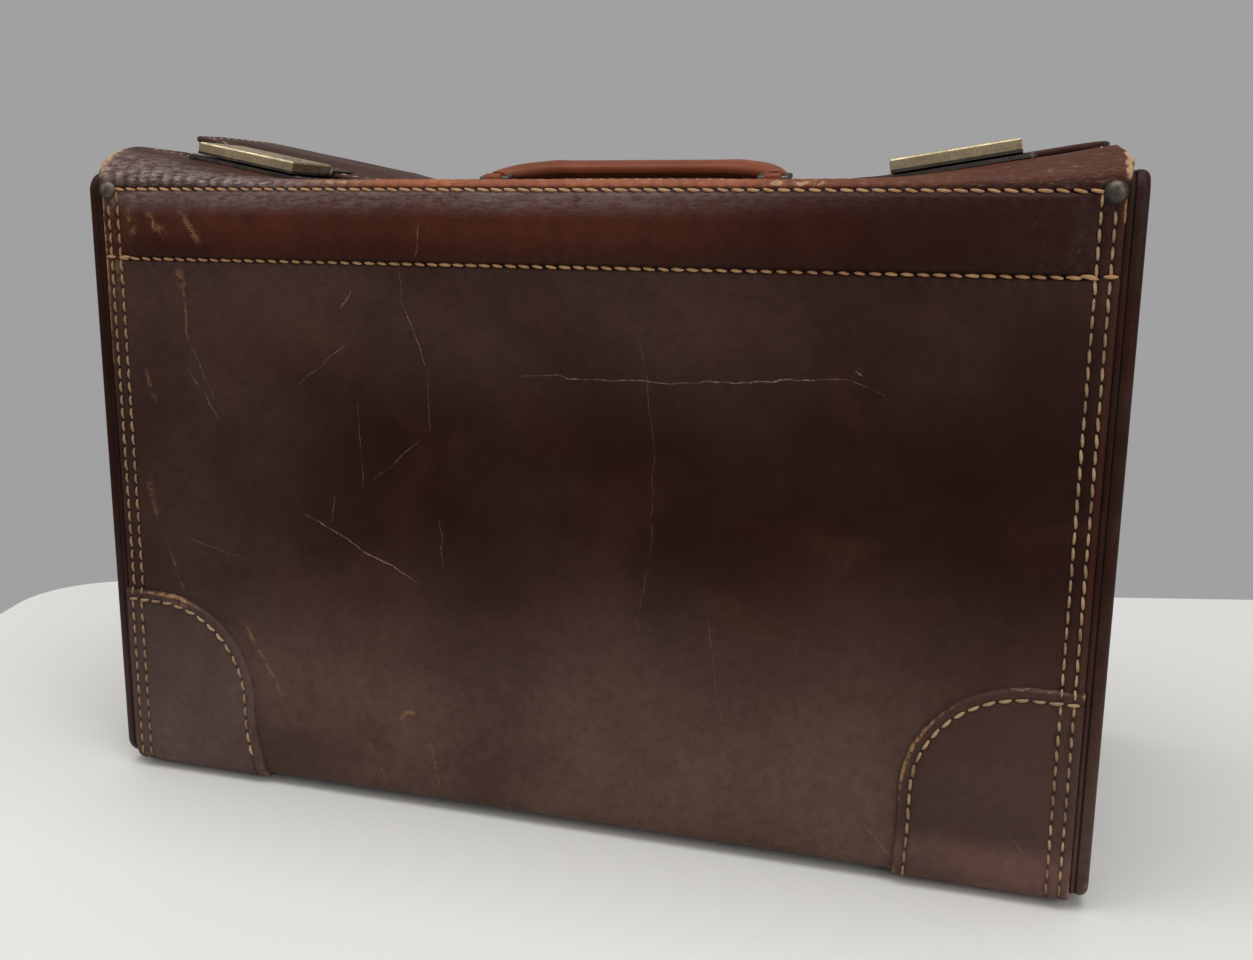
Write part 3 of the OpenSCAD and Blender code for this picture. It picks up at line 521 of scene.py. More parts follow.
@dataclass(frozen=True)
class HideFinish:
    """Glazed mahogany hide, or a hide dyed and worn in another tone."""

    name: str = "mahogany_hide"
    deep: Colour = (0.0125, 0.0022, 0.0010)
    warm: Colour = (0.027, 0.0062, 0.0030)
    glow: Colour = (0.072, 0.019, 0.009)
    glow_share: float = 0.3
    # Greyer tone laid in random patches, and also as the painted reflection of the table near the bottom and the
    # painted sheen on the walls.
    bloom_and_sheen: Colour = (0.082, 0.050, 0.040)
    bloom_share: float = 0.22
    # Share of the painted reflection of the pale table near the bottom.
    low_haze: float = 0.6
    band_tone: Colour | None = None
    band_glare: Colour = (0.165, 0.122, 0.116)
    band_crease_highlight: Colour = (0.120, 0.072, 0.062)
    # Painted highlight on fine creases at the band's right end.
    rubbed_foot: Colour = (0.132, 0.068, 0.053)
    glint: Colour = (0.33, 0.255, 0.235)
    # Painted highlight on the fine creases of the ridge.
    ridge_crease_highlight: Colour = (0.235, 0.145, 0.11)
    # Pale marks: random hairlines and given marks, among them painted edge highlights.
    scratch_and_highlight: Colour = (0.27, 0.185, 0.135)
    fresh_tan: Colour = (0.17, 0.068, 0.026)
    tan: Colour = (0.42, 0.235, 0.10)
    # Dark of stitch grooves and seams: painted shade in these recesses, with the dark of the needle holes.
    groove: Colour = (0.006, 0.003, 0.002)
    rough: float = 0.42
    gloss: float = 0.08
    coat: float = 0.02
    grain: float = 0.10
    wrinkle: float = 0.15
    # Share of the painted highlights on the ridge's creases.
    creases: float = 0.0
    low_rub: float = 0.0
    # How the painted table reflection scales from the left end to the right end.
    side_haze: tuple[float, float] = (1.0, 1.0)
    hairlines: float = 0.08
    marks: tuple[Mark, ...] = ()

    def mark_masks(self, b: Bench) -> tuple[Term, Term]:
        """Masks of the placed marks.

        Args:
            b: Material under work.

        Returns:
            Mask of the pale marks, some of them painted edge highlights, and mask of the tan scuffs.
        """
        group = scratch_group()
        flat = b.add("ShaderNodeVectorMath", b.place, (1, 0, 1), operation="MULTIPLY").outputs[0]
        wander = b.add("ShaderNodeTexNoise", at={"Scale": 70, "Vector": flat}).outputs["Color"]
        stray = (2 * WANDER * MM, 0, 2 * WANDER * MM)
        place = b.add("ShaderNodeVectorMath", wander, stray, flat, operation="MULTIPLY_ADD").outputs[0]
        broken = b.noise(1500, 3, 0.6).window(0.38, 0.60, (0.05, 1.0))
        broken = broken * b.noise(190, 4, 0.65).window(0.36, 0.56, (0.25, 1.15))
        flecked = b.streaks((2600, 2600, 1100), 4, 0.75, 0, (0, 24, 0)).window(0.42, 0.62)
        flecked = flecked * b.noise(250, 4, 0.65).window(0.38, 0.60)
        totals: dict[bool, Term] = {False: 0.0, True: 0.0}
        for mark in self.marks:
            start = Vector((mark.x0 + WANDER, 0, mark.z0 + WANDER)) * MM
            run = Vector((mark.x1 + WANDER, 0, mark.z1 + WANDER)) * MM - start
            line = {"Place": place, "Start": start, "Run": run, "Width": mark.width * MM * (1.6 if mark.tan else 1.0),
                    "Strength": mark.strength, "Break": flecked if mark.tan else broken}
            mask = b.add("ShaderNodeGroup", at=line, node_tree=group).outputs["Mask"]
            totals[mark.tan] = b.calc("MAXIMUM", totals[mark.tan], mask)
        return totals[False], totals[True]

    def lay_painted_sheen(self, b: Bench, tone: Value) -> Value:
        """Lays a painted reflection of the pale table and painted sheen over a tone.

        Args:
            b: Material under work.
            tone: Colour so far.

        Returns:
            Colour with the painted reflection of the table near the bottom, and with the band's own tone where the
            hide has one; there it also lays painted sheen high up and at the left end, painted shade along the band's
            lower edge, a painted highlight strip under its top stitch line and painted highlights on fine creases at
            its right end.
        """
        x, z = b.axes()
        uneven = b.noise(11, 5, 0.6, 0.3).window(0.3, 0.7, (0.55, 1.15))
        # Painted reflection of the pale table, rising towards the bottom.
        low = z.window(0.150, 0.028, (0.0, self.low_haze))
        if self.band_tone is None:
            tone = b.blend(low * x.window(-0.12, 0.12, self.side_haze) * uneven, tone, self.bloom_and_sheen)
            if not self.low_rub:
                return tone
            rub = z.window(0.029, 0.017) * x.window(0.10, 0.16, (0.1, 1.0))
            rub = rub * b.noise(26, 4, 0.6).window(0.3, 0.6, (0.5 * self.low_rub, self.low_rub))
            return b.blend(rub, tone, self.rubbed_foot)
        # Painted sheen high up, weaker towards the right, and towards the left end.
        high = z.window(0.165, 0.238, (0.0, 0.38)) * x.window(0.05, 0.17, (1.0, 0.5))
        left = x.window(-0.05, -0.19, (0.0, 0.34))
        on_band = z.window(0.2503, 0.2513)
        tone = b.blend(high.most(left).most(low) * uneven * (1.0 - on_band), tone, self.bloom_and_sheen)
        # Band's own red tone, less towards the right end; along the band's lower edge, where the roll faces down, it
        # is painted darker as shade.
        band_red_share = x.window(-0.02, 0.2, (0.95, 0.12)) * z.window(0.254, 0.266, (0.45, 1.0))
        band_red_share = band_red_share * b.streaks((60, 60, 14), 4, 0.6, 0.3).window(0.3, 0.7, (0.6, 1.1))
        tone = b.blend(band_red_share * on_band, tone, self.band_tone)
        glare = z.window(0.2695, 0.2790) * x.window(0.17, -0.04, (0.02, 0.7))
        glare = glare * b.streaks((200, 200, 700), 5, 0.7, 0.4).window(0.35, 0.65, (0.35, 1.1))
        tone = b.blend(glare * uneven, tone, self.band_glare)
        # Painted highlights on fine creases at the band's right end.
        fine = b.streaks((2000, 700, 330), 3, 0.6, 1.4, (0, 40, 0)).window(0.50, 0.68)
        band_crease_highlight = x.window(0.172, 0.206, (0.0, 0.34)) * z.window(0.236, 0.262)
        return b.blend(fine * (band_crease_highlight * b.noise(30, 3).window(0.32, 0.58)), tone, self.band_crease_highlight)

    def make(self) -> Material:
        """Builds the node material."""
        b = Bench(self.name)
        tone = b.blend(b.noise(7, 4, 0.55, 0.6).window(0.38, 0.72), self.deep, self.warm)
        glow = b.noise(16, 3, 0.5, 0.8).window(0.5, 0.75) * self.glow_share
        warmth = b.trait("warmth") * b.noise(38, 4, 0.6).window(0.25, 0.7, (0.6, 1.0))
        tone = b.blend(glow.most(warmth), tone, self.glow)
        tone = b.blend(b.streaks((52, 52, 6), 4, 0.6, 0.4).window(0.35, 0.8, (0.0, 0.3)), tone, self.deep)
        bloom_and_sheen = b.noise(13, 5, 0.6, 0.3).window(0.42, 0.75) * self.bloom_share
        tone = self.lay_painted_sheen(b, b.blend(bloom_and_sheen, tone, self.bloom_and_sheen))
        # Painted sheen: pale glints in fine streaks where the mesh carries the sheen trait.
        glints = b.streaks((210, 210, 1000), 4, 0.7, 0.7).window(0.40, 0.62, (0.12, 1.0))
        tone = b.blend(b.trait("haze") * glints, tone, self.glint)
        tone = b.blend(b.trait("shade"), tone, self.deep)
        # Painted highlights on the fine creases of the ridge.
        if self.creases:
            lit = b.streaks((230, 230, 1500), 3, 0.55, 0.8).window(0.56, 0.67, (0.0, self.creases))
            tone = b.blend(lit * b.trait("ridge"), tone, self.ridge_crease_highlight)
        tone = b.blend(b.noise(260, 4, 0.65).window(0.35, 0.75, (0.0, 0.28)), tone, self.deep)
        lines: Term = 0.0
        for turn, pace in ((27, 1500), (-36, 1700), (8, 1350), (-12, 1600)):
            thin = b.streaks((pace, 90, 13), 1.5, 0.4, 0, (0, turn, 0)).window(0.715, 0.745)
            lines = thin.most(lines)
        flecks = b.noise(330, 5, 0.72).window(0.675, 0.71) * b.noise(13, 2).window(0.52, 0.64)
        sparse = b.noise(15, 3, 0.55).window(0.50, 0.66) * self.hairlines
        pale = (lines * sparse).most(flecks * self.hairlines)
        scuffs: Term = 0.0
        if self.marks:
            scratches_and_highlights, scuffs = self.mark_masks(b)
            pale = pale.most(scratches_and_highlights)
        rubbed = b.trait("worn") * b.noise(300, 5, 0.7).window(0.30, 0.58, (0.1, 1.0))
        scuffs = rubbed.window(0.22, 0.62).most(scuffs)
        # Pale marks, among them painted edge highlights.
        tone = b.blend(pale * 0.7, tone, self.scratch_and_highlight)
        tone = b.blend(scuffs * 0.88, tone, b.blend(b.noise(150, 4), self.fresh_tan, self.tan))
        # Painted shade in the stitch grooves and seams, where the mesh carries groove.
        tone = b.blend(b.trait("groove") * 0.9, tone, self.groove)
        damaged = pale.most(scuffs)
        rough = b.noise(30, 5, 0.6).window(0.3, 0.75, (self.rough - 0.05, self.rough + 0.1)) + damaged * 0.25
        wrinkles = b.streaks((150, 150, 900), 3, 0.55, 0.5)
        creases = b.streaks((1000, 300, 260), 3, 0.55, 0.6, (0, 24, 0))
        fold = (b.blend(b.noise(9, 3).window(0.42, 0.6), wrinkles, creases) - 0.5) * 2.0
        pores = b.add("ShaderNodeTexVoronoi", at={"Scale": 1250, "Vector": b.stretched((1, 1, 1.3))})
        normal = b.bump(pores.outputs["Distance"], self.grain, 0.8, b.bump(fold, self.wrinkle))
        normal = b.bump(damaged, -0.09, 1.0, b.bump(b.noise(45, 3, 0.5), 0.5, 0.5, normal))
        return b.done(tone, rough, normal, Coat_Weight=self.coat, Coat_Roughness=0.3, Specular_IOR_Level=self.gloss)


@dataclass(frozen=True)
class ThreadFinish:
    """Waxed linen thread, golden where clean and brown where soiled."""

    soiled: Colour = (0.155, 0.090, 0.045)
    clean: Colour = (0.335, 0.218, 0.112)
    speck: Colour = (0.070, 0.034, 0.018)
    old: Colour = (0.205, 0.115, 0.055)
    orange: Colour = (0.40, 0.195, 0.082)

    def make(self) -> Material:
        """Builds the node material."""
        b = Bench("waxed_thread")
        tone = b.blend(b.noise(55, 4, 0.6).window(0.35, 0.65), self.soiled, self.clean)
        tone = b.blend(b.noise(420, 4, 0.7).window(0.54, 0.76), tone, self.speck)
        x, z = b.axes()
        tone = b.blend(x.window(-0.185, -0.205, (0.0, 0.6)), tone, self.old)
        for line in (0.251, 0.282):
            tone = b.blend(b.calc("ABSOLUTE", z - line).window(0.0024, 0.0013, (0.0, 0.55)), tone, self.orange)
        twist = b.streaks((1500, 1500, 2600), 2, 0.5, 0, (0, 35, 0))
        return b.done(tone, 0.62, b.bump(twist, 0.25), Specular_IOR_Level=0.35)


@dataclass(frozen=True)
class MetalFinish:
    """Plated or bare metal with tarnish, rubbed specks and fine brushing."""

    name: str
    base: Colour
    tarnish: Colour
    speck: Colour
    tarnish_share: float = 0.6
    rough: float = 0.38

    def make(self) -> Material:
        """Builds the node material."""
        b = Bench(self.name)
        aged = b.noise(120, 6, 0.68, 0.4).window(0.36, 0.66) * self.tarnish_share
        tone = b.blend(aged, self.base, self.tarnish)
        tone = b.blend(b.noise(1000, 5, 0.78).window(0.54, 0.65) * 0.8, tone, self.speck)
        rough = b.noise(240, 4).window(0.3, 0.7, (self.rough - 0.08, self.rough + 0.12)) + aged * 0.15
        brushed = b.bump(b.streaks((160, 900, 900), 2), 0.03)
        return b.done(tone, rough, b.bump(b.noise(700, 5, 0.7), 0.08, 1.0, brushed), Metallic=1.0)


@dataclass(frozen=True)
class ClothFinish:
    """Twill lining cloth."""

    light: Colour = (0.205, 0.135, 0.078)
    dark: Colour = (0.098, 0.060, 0.034)

    def make(self) -> Material:
        """Builds the node material."""
        b = Bench("twill_lining")
        threads = []
        for turn in ((0, 45, 0), (45, 0, 0), (0, 0, 45)):
            fit = {"Scale": 190, "Distortion": 0.6, "Vector": b.stretched((1, 1, 1), turn)}
            threads.append(Value(b, b.add("ShaderNodeTexWave", at=fit).outputs["Fac"]))
        weave = (threads[0] + threads[1] + threads[2]) * 0.333
        slub = b.streaks((900, 900, 120), 3, 0.6)
        tone = b.blend((weave + slub) * 0.5, self.dark, self.light)
        tone = b.blend(b.noise(12, 4).window(0.4, 0.75, (0.0, 0.4)), tone, self.dark)
        return b.done(tone, 0.9, b.bump(weave, 0.15, 1.0, b.bump(slub, 0.12)), Sheen_Weight=0.25)


@dataclass(frozen=True)
class BoardFinish:
    """Compressed fibre board."""

    dark: Colour = (0.13, 0.085, 0.045)
    light: Colour = (0.31, 0.22, 0.13)
    fleck: Colour = (0.07, 0.045, 0.025)

    def make(self) -> Material:
        """Builds the node material."""
        b = Bench("fibre_board")
        fibres = b.streaks((700, 700, 120), 5, 0.65, 0.8)
        tone = b.blend(b.noise(500, 3).window(0.62, 0.7), b.blend(fibres, self.dark, self.light), self.fleck)
        return b.done(tone, 0.85, b.bump(fibres, 0.12))


# Forms shared by the leather


@dataclass(frozen=True)
class CaseForm:
    """Sizes and curves that the leather, the thread and the lining share."""

    panel_half: float = 221.0
    face: float = 101.5
    hinge: float = 98.0
    floor_z: float = 4.0
    seam_z: float = 286.8
    band_low: float = 251.0
    band_top: float = 282.0
    band_out: float = 3.3
    bend_r: float = 6.0
    leather_t: float = 3.5
    flap_t: float = 3.2
    knee_x: float = 123.0
    left_tilt: float = 10.8
    right_tilt: float = 9.1
    curl_soft: float = 5.0
    middle_dip: float = 3.0
    dip_half: float = 88.0
    rows_x: tuple[float, float] = (212.3, 217.3)
    rows_end: float = 213.8
    dark_end: float = 215.0
    patch_w: float = 69.0
    patch_h: float = 88.0
    patch_r: float = 50.0
    patch_t: float = 2.0
    patch_inset: float = 4.8

    NEAR_END = (221, 220.75, 220.4, 219.8, 219, 218.2, 217.8, 217.3, 216.8, 216.3, 215.5, 214.6, 213.6, 212.9,
                212.3, 211.7, 211, 210, 208.6)

    def section(self, tail: Sequence[float], heights: Sequence[float]) -> tuple[Array, Array, Array]:
        """Places along a wall's section.

        Args:
            tail: Outward distances of the stations turned in under the bottom.
            heights: Heights of the stations up the face.

        Returns:
            Outward distance, height, and outward direction as two columns, one row per station.
        """
        middle_q, middle_z = self.face - self.bend_r, self.floor_z + self.bend_r
        turns = [(-math.cos(a), math.sin(a)) for a in np.radians(np.linspace(270, 180, 9))]
        rows = [(q, self.floor_z, 0.0, -1.0) for q in tail]
        rows += [(middle_q + self.bend_r * out, middle_z + self.bend_r * up, out, up) for out, up in turns]
        rows = np.array(rows + [(self.face, z, 1.0, 0.0) for z in heights])
        return rows[:, 0], rows[:, 1], rows[:, 2:]

    def row_end(self, x: Array) -> Array:
        """Share that falls from 1 to 0 where the cross rows stop."""
        return smooth((self.rows_end - np.abs(x)) / 1.5)

    def lift(self, x: Array) -> Array:
        """Height that the curled ends add to a flap at x."""
        past = np.abs(x) - self.knee_x
        slope = np.where(x < 0, math.tan(math.radians(self.left_tilt)), math.tan(math.radians(self.right_tilt)))
        return slope * (past + np.sqrt(past * past + self.curl_soft**2)) / 2

    def dip(self, x: Array) -> Array:
        """How far the mouth sags between the curled ends at x."""
        return self.middle_dip * (1 - smooth((np.abs(x) - self.dip_half) / (self.knee_x - self.dip_half)))

    def columns(self) -> Array:
        """Places along the case, close together at the raw ends and at the stitch rows."""
        half = np.concatenate([np.arange(0, 207.7, PITCH / 6), np.array(self.NEAR_END[::-1], float)])
        return np.concatenate([-half[::-1], half[1:]])

    def band(self, x: Array, z: Array) -> Array:
        """How far the band over the mouth frame swells, fading at its ends."""
        t = np.clip((z - self.band_low) / (self.band_top - self.band_low), 0, 1)
        roll = np.sin(math.pi * t**0.92) ** 0.5
        return self.band_out * roll * smooth((213.5 - np.abs(x)) / 13)

    def crown(self, x: Array, z: Array) -> Array:
        """Soft crown and unevenness of a wall between its stitch lines."""
        upright = smooth((z - 18) / 110) * smooth((248 - z) / 70)
        bowed = 1 - np.clip(np.abs(x) / 212, 0, 1) ** 3
        waves = 0.42 * ripple(x / 120, z / 110, 3) * smooth((206 - np.abs(x)) / 22) * smooth((z - 12) / 30)
        return upright * bowed + waves * smooth((247 - z) / 12)

    def seam_groove(self, x: Array, z: Array, line: float) -> Array:
        """Sink of a stitch line across the wall, deeper at the needle holes, with puckers beside it."""
        away = np.abs(z - line)
        sink = -1.05 * bell(away, 1.15) * (1 - 0.35 * beat(x))
        pucker = (0.34 + 0.2 * smooth((-40 - x) / 90)) * bell(away - 2.6, 1.6) * (beat(x) + 0.25)
        return (sink + pucker) * self.row_end(x)

    def wall(self, x: Array, z: Array) -> Array:
        """Outward offset of the grain side of a wall from its flat face."""
        offset = self.band(x, z) + self.crown(x, z)
        offset = offset + self.seam_groove(x, z, self.band_low) + self.seam_groove(x, z, self.band_top)
        low = smooth((self.band_top - z) / 3)
        for place in self.rows_x:
            offset = offset - 0.42 * bell(np.abs(x) - place, 0.85) * (1 - 0.25 * beat(z - self.band_low)) * low
            offset = offset + 0.10 * bell(np.abs(x) - (place + 2.5), 0.9) * low
        edge = self.panel_half - np.abs(x)
        return offset - 0.75 * (1 - np.clip(edge / 1.3, 0, 1)) ** 2

    def grooves(self, x: Array, z: Array) -> Array:
        """Share from 0 to 1 of the dark painted in the stitch lines of a wall: painted shade in the grooves, deepest
        at the needle holes.
        """
        across = np.maximum(bell(z - self.band_low - 0.25, 1.15), bell(z - self.band_top, 1.05))
        across = across * smooth((self.dark_end - np.abs(x)) / 2) * (0.82 - 0.18 * beat(x))
        holes = 0.8 - 0.2 * beat(z - 9)
        up = np.maximum(bell(np.abs(x) - self.rows_x[0], 0.7), bell(np.abs(x) - self.rows_x[1], 0.7)) * holes
        return np.maximum(across, up * smooth((self.band_top - z) / 3))

    def patch_border(self, x: Array, z: Array) -> Array:
        """Distance inside the outline of the corner patch at x and z."""
        along = np.abs(x) - (self.panel_half - self.patch_w)
        down = self.floor_z + self.patch_h - z
        a, b = self.patch_r - along, self.patch_r - down
        corner = self.patch_r - np.hypot(np.maximum(a, 0), np.maximum(b, 0))
        return np.where((a > 0) & (b > 0), corner, np.minimum(along, down))

    def patch_rise(self, x: Array, z: Array) -> Array:
        """Height of the corner patch over the wall at x and z."""
        border = self.patch_border(x, z)
        t = 1 - np.clip(border / 1.4, 0, 1)
        dome = np.sqrt(np.clip(1 - t * t, 0, 1))
        groove = 0.38 * bell(border - self.patch_inset, 0.8)
        rows = sum(0.35 * bell(np.abs(x) - place, 0.8) for place in self.rows_x)
        return np.where(border > 0, self.patch_t * dome - groove * (dome > 0.99) - rows * dome, 0.0)


# Sub-assemblies


@dataclass
class StitchRun:
    """One row of stitches: points in millimetres along the row and the outward direction at each."""

    points: Array
    up: Array
    slant: float = 0.0
    width: float = 1.0


class Stitching:
    """Rows of stitches that one body carries, made with Geometry Nodes."""

    def __init__(self, name: str, body: str, material: Material) -> None:
        """Names the mesh, its body and its finish."""
        self.name, self.body, self.material = name, body, material
        self.runs: list[StitchRun] = []

    def add(self, points: Sequence | Array, up: Sequence | Array, slant: float = 0.0, width: float = 1.0) -> None:
        """Adds a row; up may be one direction for all its points."""
        places = np.asarray(points, float)
        ups = np.broadcast_to(np.asarray(up, float), places.shape)
        self.runs.append(StitchRun(places, ups, slant, width))

    def tree(self) -> tuple[bpy.types.NodeTree, dict[str, str]]:
        """Tree that lays stitches along edges.

        Returns:
            The tree, and the identifiers of its inputs by name.
        """
        tree = bpy.data.node_groups.new(f"{self.name}_rows", "GeometryNodeTree")
        sockets = tree.interface.new_socket
        sockets(name="Rows", in_out="INPUT", socket_type="NodeSocketGeometry")
        sockets(name="Stitches", in_out="OUTPUT", socket_type="NodeSocketGeometry")
        keys = {n: sockets(name=n, in_out="INPUT", socket_type="NodeSocketFloat").identifier
                for n in ("Pitch", "Length", "Thread radius", "Rise", "Unevenness")}
        g = Graph(tree)
        add, calc = g.add, g.calc
        given = add("NodeGroupInput").outputs

        def carried(name: str, kind: str) -> Socket:
            """Value carried by the rows."""
            return add("GeometryNodeInputNamedAttribute", at={"Name": name}, data_type=kind).outputs["Attribute"]

        def spot(x: Term = None, z: Term = None) -> Socket:
            """Point on the thread's line from its x and z."""
            return add("ShaderNodeCombineXYZ", x, None, z).outputs[0]

        curve = add("GeometryNodeMeshToCurve", given["Rows"]).outputs[0]
        places = add("GeometryNodeCurveToPoints", at={"Curve": curve, "Length": given["Pitch"]}, mode="LENGTH").outputs
        half = calc("MULTIPLY", given["Length"], 0.5)
        sunk = calc("MULTIPLY", given["Thread radius"], -1.05)
        ends = {"Start": spot(half * -1.0, sunk), "Middle": spot(None, given["Rise"]), "End": spot(half, sunk)}
        bow = add("GeometryNodeCurveQuadraticBezier", at={"Resolution": 8} | ends).outputs["Curve"]
        centred = calc("SUBTRACT", add("GeometryNodeSplineParameter").outputs["Factor"], 0.5)
        plumpness = centred * centred * -1.7 + 1.08
        plump = add("GeometryNodeSetCurveRadius", at={"Curve": bow, "Radius": plumpness}).outputs["Curve"]
        ring = add("GeometryNodeCurvePrimitiveCircle", at={"Resolution": 7, "Radius": given["Thread radius"]})
        skin = {"Fill Caps": True, "Curve": plump, "Profile Curve": ring.outputs["Curve"]}
        thread = add("GeometryNodeCurveToMesh", at=skin)
        if "Scale" in thread.inputs:
            g.plug(plumpness, thread.inputs["Scale"])
        frame = add("FunctionNodeAxesToRotation", carried("up", "FLOAT_VECTOR"), places["Tangent"],
                    primary_axis="Z", secondary_axis="X").outputs[0]
        spread = {"Seed": 7, 2: calc("MULTIPLY", given["Unevenness"], -1.0), 3: given["Unevenness"]}
        chance = add("FunctionNodeRandomValue", at=spread, data_type="FLOAT").outputs[1]
        lean = calc("ADD", chance, carried("slant", "FLOAT"))
        turn = add("FunctionNodeAxisAngleToRotation", at={"Axis": (0, 0, 1), "Angle": lean}).outputs[0]
        turned = add("FunctionNodeRotateRotation", frame, turn, rotation_space="LOCAL").outputs[0]
        size = calc("ADD", 1.0, chance)
        across = size * carried("width", "FLOAT")
        swell = add("ShaderNodeCombineXYZ", size, across, across).outputs[0]
        laid = add("GeometryNodeInstanceOnPoints", at={"Points": places["Points"], "Instance": thread.outputs["Mesh"],
                                                       "Rotation": turned, "Scale": swell}).outputs[0]
        real = add("GeometryNodeRealizeInstances", laid).outputs[0]
        rounded = add("GeometryNodeSetShadeSmooth", real).outputs[0]
        add("NodeGroupOutput", add("GeometryNodeSetMaterial", rounded, at={"Material": self.material}).outputs[0])
        return tree, keys

    def build(self, length: float = 4.7, radius: float = 0.7) -> Item:
        """Lays all rows and returns them as one plain mesh.

        Args:
            length: Visible length of a stitch.
            radius: Radius of the thread.

        Returns:
            The stitches as one object on their body.
        """
        points = np.concatenate([r.points for r in self.runs])
        ups = np.concatenate([r.up for r in self.runs])
        edges, start = [], 0
        for run in self.runs:
            edges += [(start + k, start + k + 1) for k in range(len(run.points) - 1)]
            start += len(run.points)
        mesh = bpy.data.meshes.new(self.name)
        mesh.from_pydata((points * MM).tolist(), edges, [])
        mesh.attributes.new("up", "FLOAT_VECTOR", "POINT").data.foreach_set("vector", ups.astype(np.float32).ravel())
        for key in ("slant", "width"):
            values = np.concatenate([np.full(len(r.points), getattr(r, key), np.float32) for r in self.runs])
            mesh.attributes.new(key, "FLOAT", "POINT").data.foreach_set("value", values)
        made = plain_object(self.name, mesh)
        tree, keys = self.tree()
        nodes = made.modifiers.new("rows", "NODES")
        nodes.node_group = tree
        for name, value in (("Pitch", PITCH * MM), ("Length", length * MM), ("Thread radius", radius * MM),
                            ("Rise", 1.5 * radius * MM), ("Unevenness", 0.07)):
            nodes[keys[name]] = value
        bake(made)
        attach(made, self.body)
        return made


@dataclass
class WallHide:
    """Front or back wall: one hide from under the bottom to the top stitch line, over the frame band."""

    form: CaseForm
    side: Side
    material: Material

    TAIL = (69.9, 76, 82, 88, 92.5)
    BAND_HEIGHTS = (
        244.5, 246.5, 247.8, 248.7, 249.4, 250, 250.5, 251, 251.5, 252, 252.6, 253.3, 254.2, 255.4, 257, 259,
        261.5, 264.5, 267.5, 270.5, 273, 275, 276.6, 277.8, 278.8, 279.6, 280.3, 280.9, 281.5, 282)

    def grid(self) -> tuple[Array, Array, dict[str, Array]]:
        """Grain side, flesh side and traits of the wall."""
        f = self.form
        q, z, out = f.section(self.TAIL, [*np.arange(14, 243, 4.2), *self.BAND_HEIGHTS])
        x = np.broadcast_to(f.columns(), (len(q), len(f.columns())))
        qq, zz = q[:, None] + 0 * x, z[:, None] + 0 * x
        on_wall = (out[:, 0] > 0.99)[:, None]
        rise = np.where(on_wall, f.wall(x, zz), f.wall(x, zz * 0 + 14))
        core = f.band(x, zz) * on_wall

        def lay(offset: Array) -> Array:
            """Points at an offset from the section."""
            far = qq + out[:, 0][:, None] * offset
            return np.stack([x, self.side.value * far, zz + out[:, 1][:, None] * offset], -1)

        edge = f.panel_half - np.abs(x)
        upper = np.where(x < 0, smooth((zz - 150) / 90), smooth((zz - 262) / 14))
        worn = 0.75 * bell(edge, 1.2) * upper + 0.22 * bell(zz - 6, 3.5) * on_wall
        left_top = smooth((-170 - x) / 30) * smooth((zz - 190) / 60)
        worn = worn + 0.23 * left_top * bell(edge - 6, 5)
        worn = worn + 0.12 * smooth((edge - 20) / -14) * (x < 0) * smooth((zz - 60) / 90)
        warmth = 0.6 * bell(edge - 1.9, 1.3) * (x > 0) * on_wall
        traits = {"groove": f.grooves(x, zz) * on_wall, "worn": np.clip(worn, 0, 1), "warmth": warmth}
        return lay(rise), lay(core - f.leather_t), traits

    def build(self) -> Item:
        """Makes the wall and hangs it on the body of the case."""
        name = self.side.name.lower()
        made = shell(f"{name}_wall_hide", *self.grid(), self.material)
        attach(made, "case_body")
        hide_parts(f"{name}_panel")
        return made

    def stitches(self, rows: Stitching) -> None:
        """Adds the wall's two cross rows and its four upright rows."""
        f, sign = self.form, self.side.value
        for line in (f.band_low, f.band_top):
            x = np.arange(-34 * 4, 34 * 4 + 1) * PITCH / 4
            z = np.full_like(x, line)
            rows.add(np.stack([x, sign * (f.face + f.wall(x, z) + 0.78), z], -1), (0, sign, 0), 0.15 * sign)
        for end in End:
            x = end.value * np.array([209.5, 213.5, 217.5])
            z = np.full(3, f.band_low + 0.5)
            rows.add(np.stack([x, sign * (f.face + 0.35) + 0 * x, z], -1), (0, sign, 0))
            for place in f.rows_x:
                z = np.arange(9.0, 279 if place < f.dark_end else 275.5, PITCH / 2)
                x = np.full_like(z, end.value * place)
                q = f.face + f.wall(x, z) + np.maximum(f.patch_rise(x, z), 0) + 0.42
                rows.add(np.stack([x, sign * q, z], -1), (0, sign, 0), 0.05, 0.86)


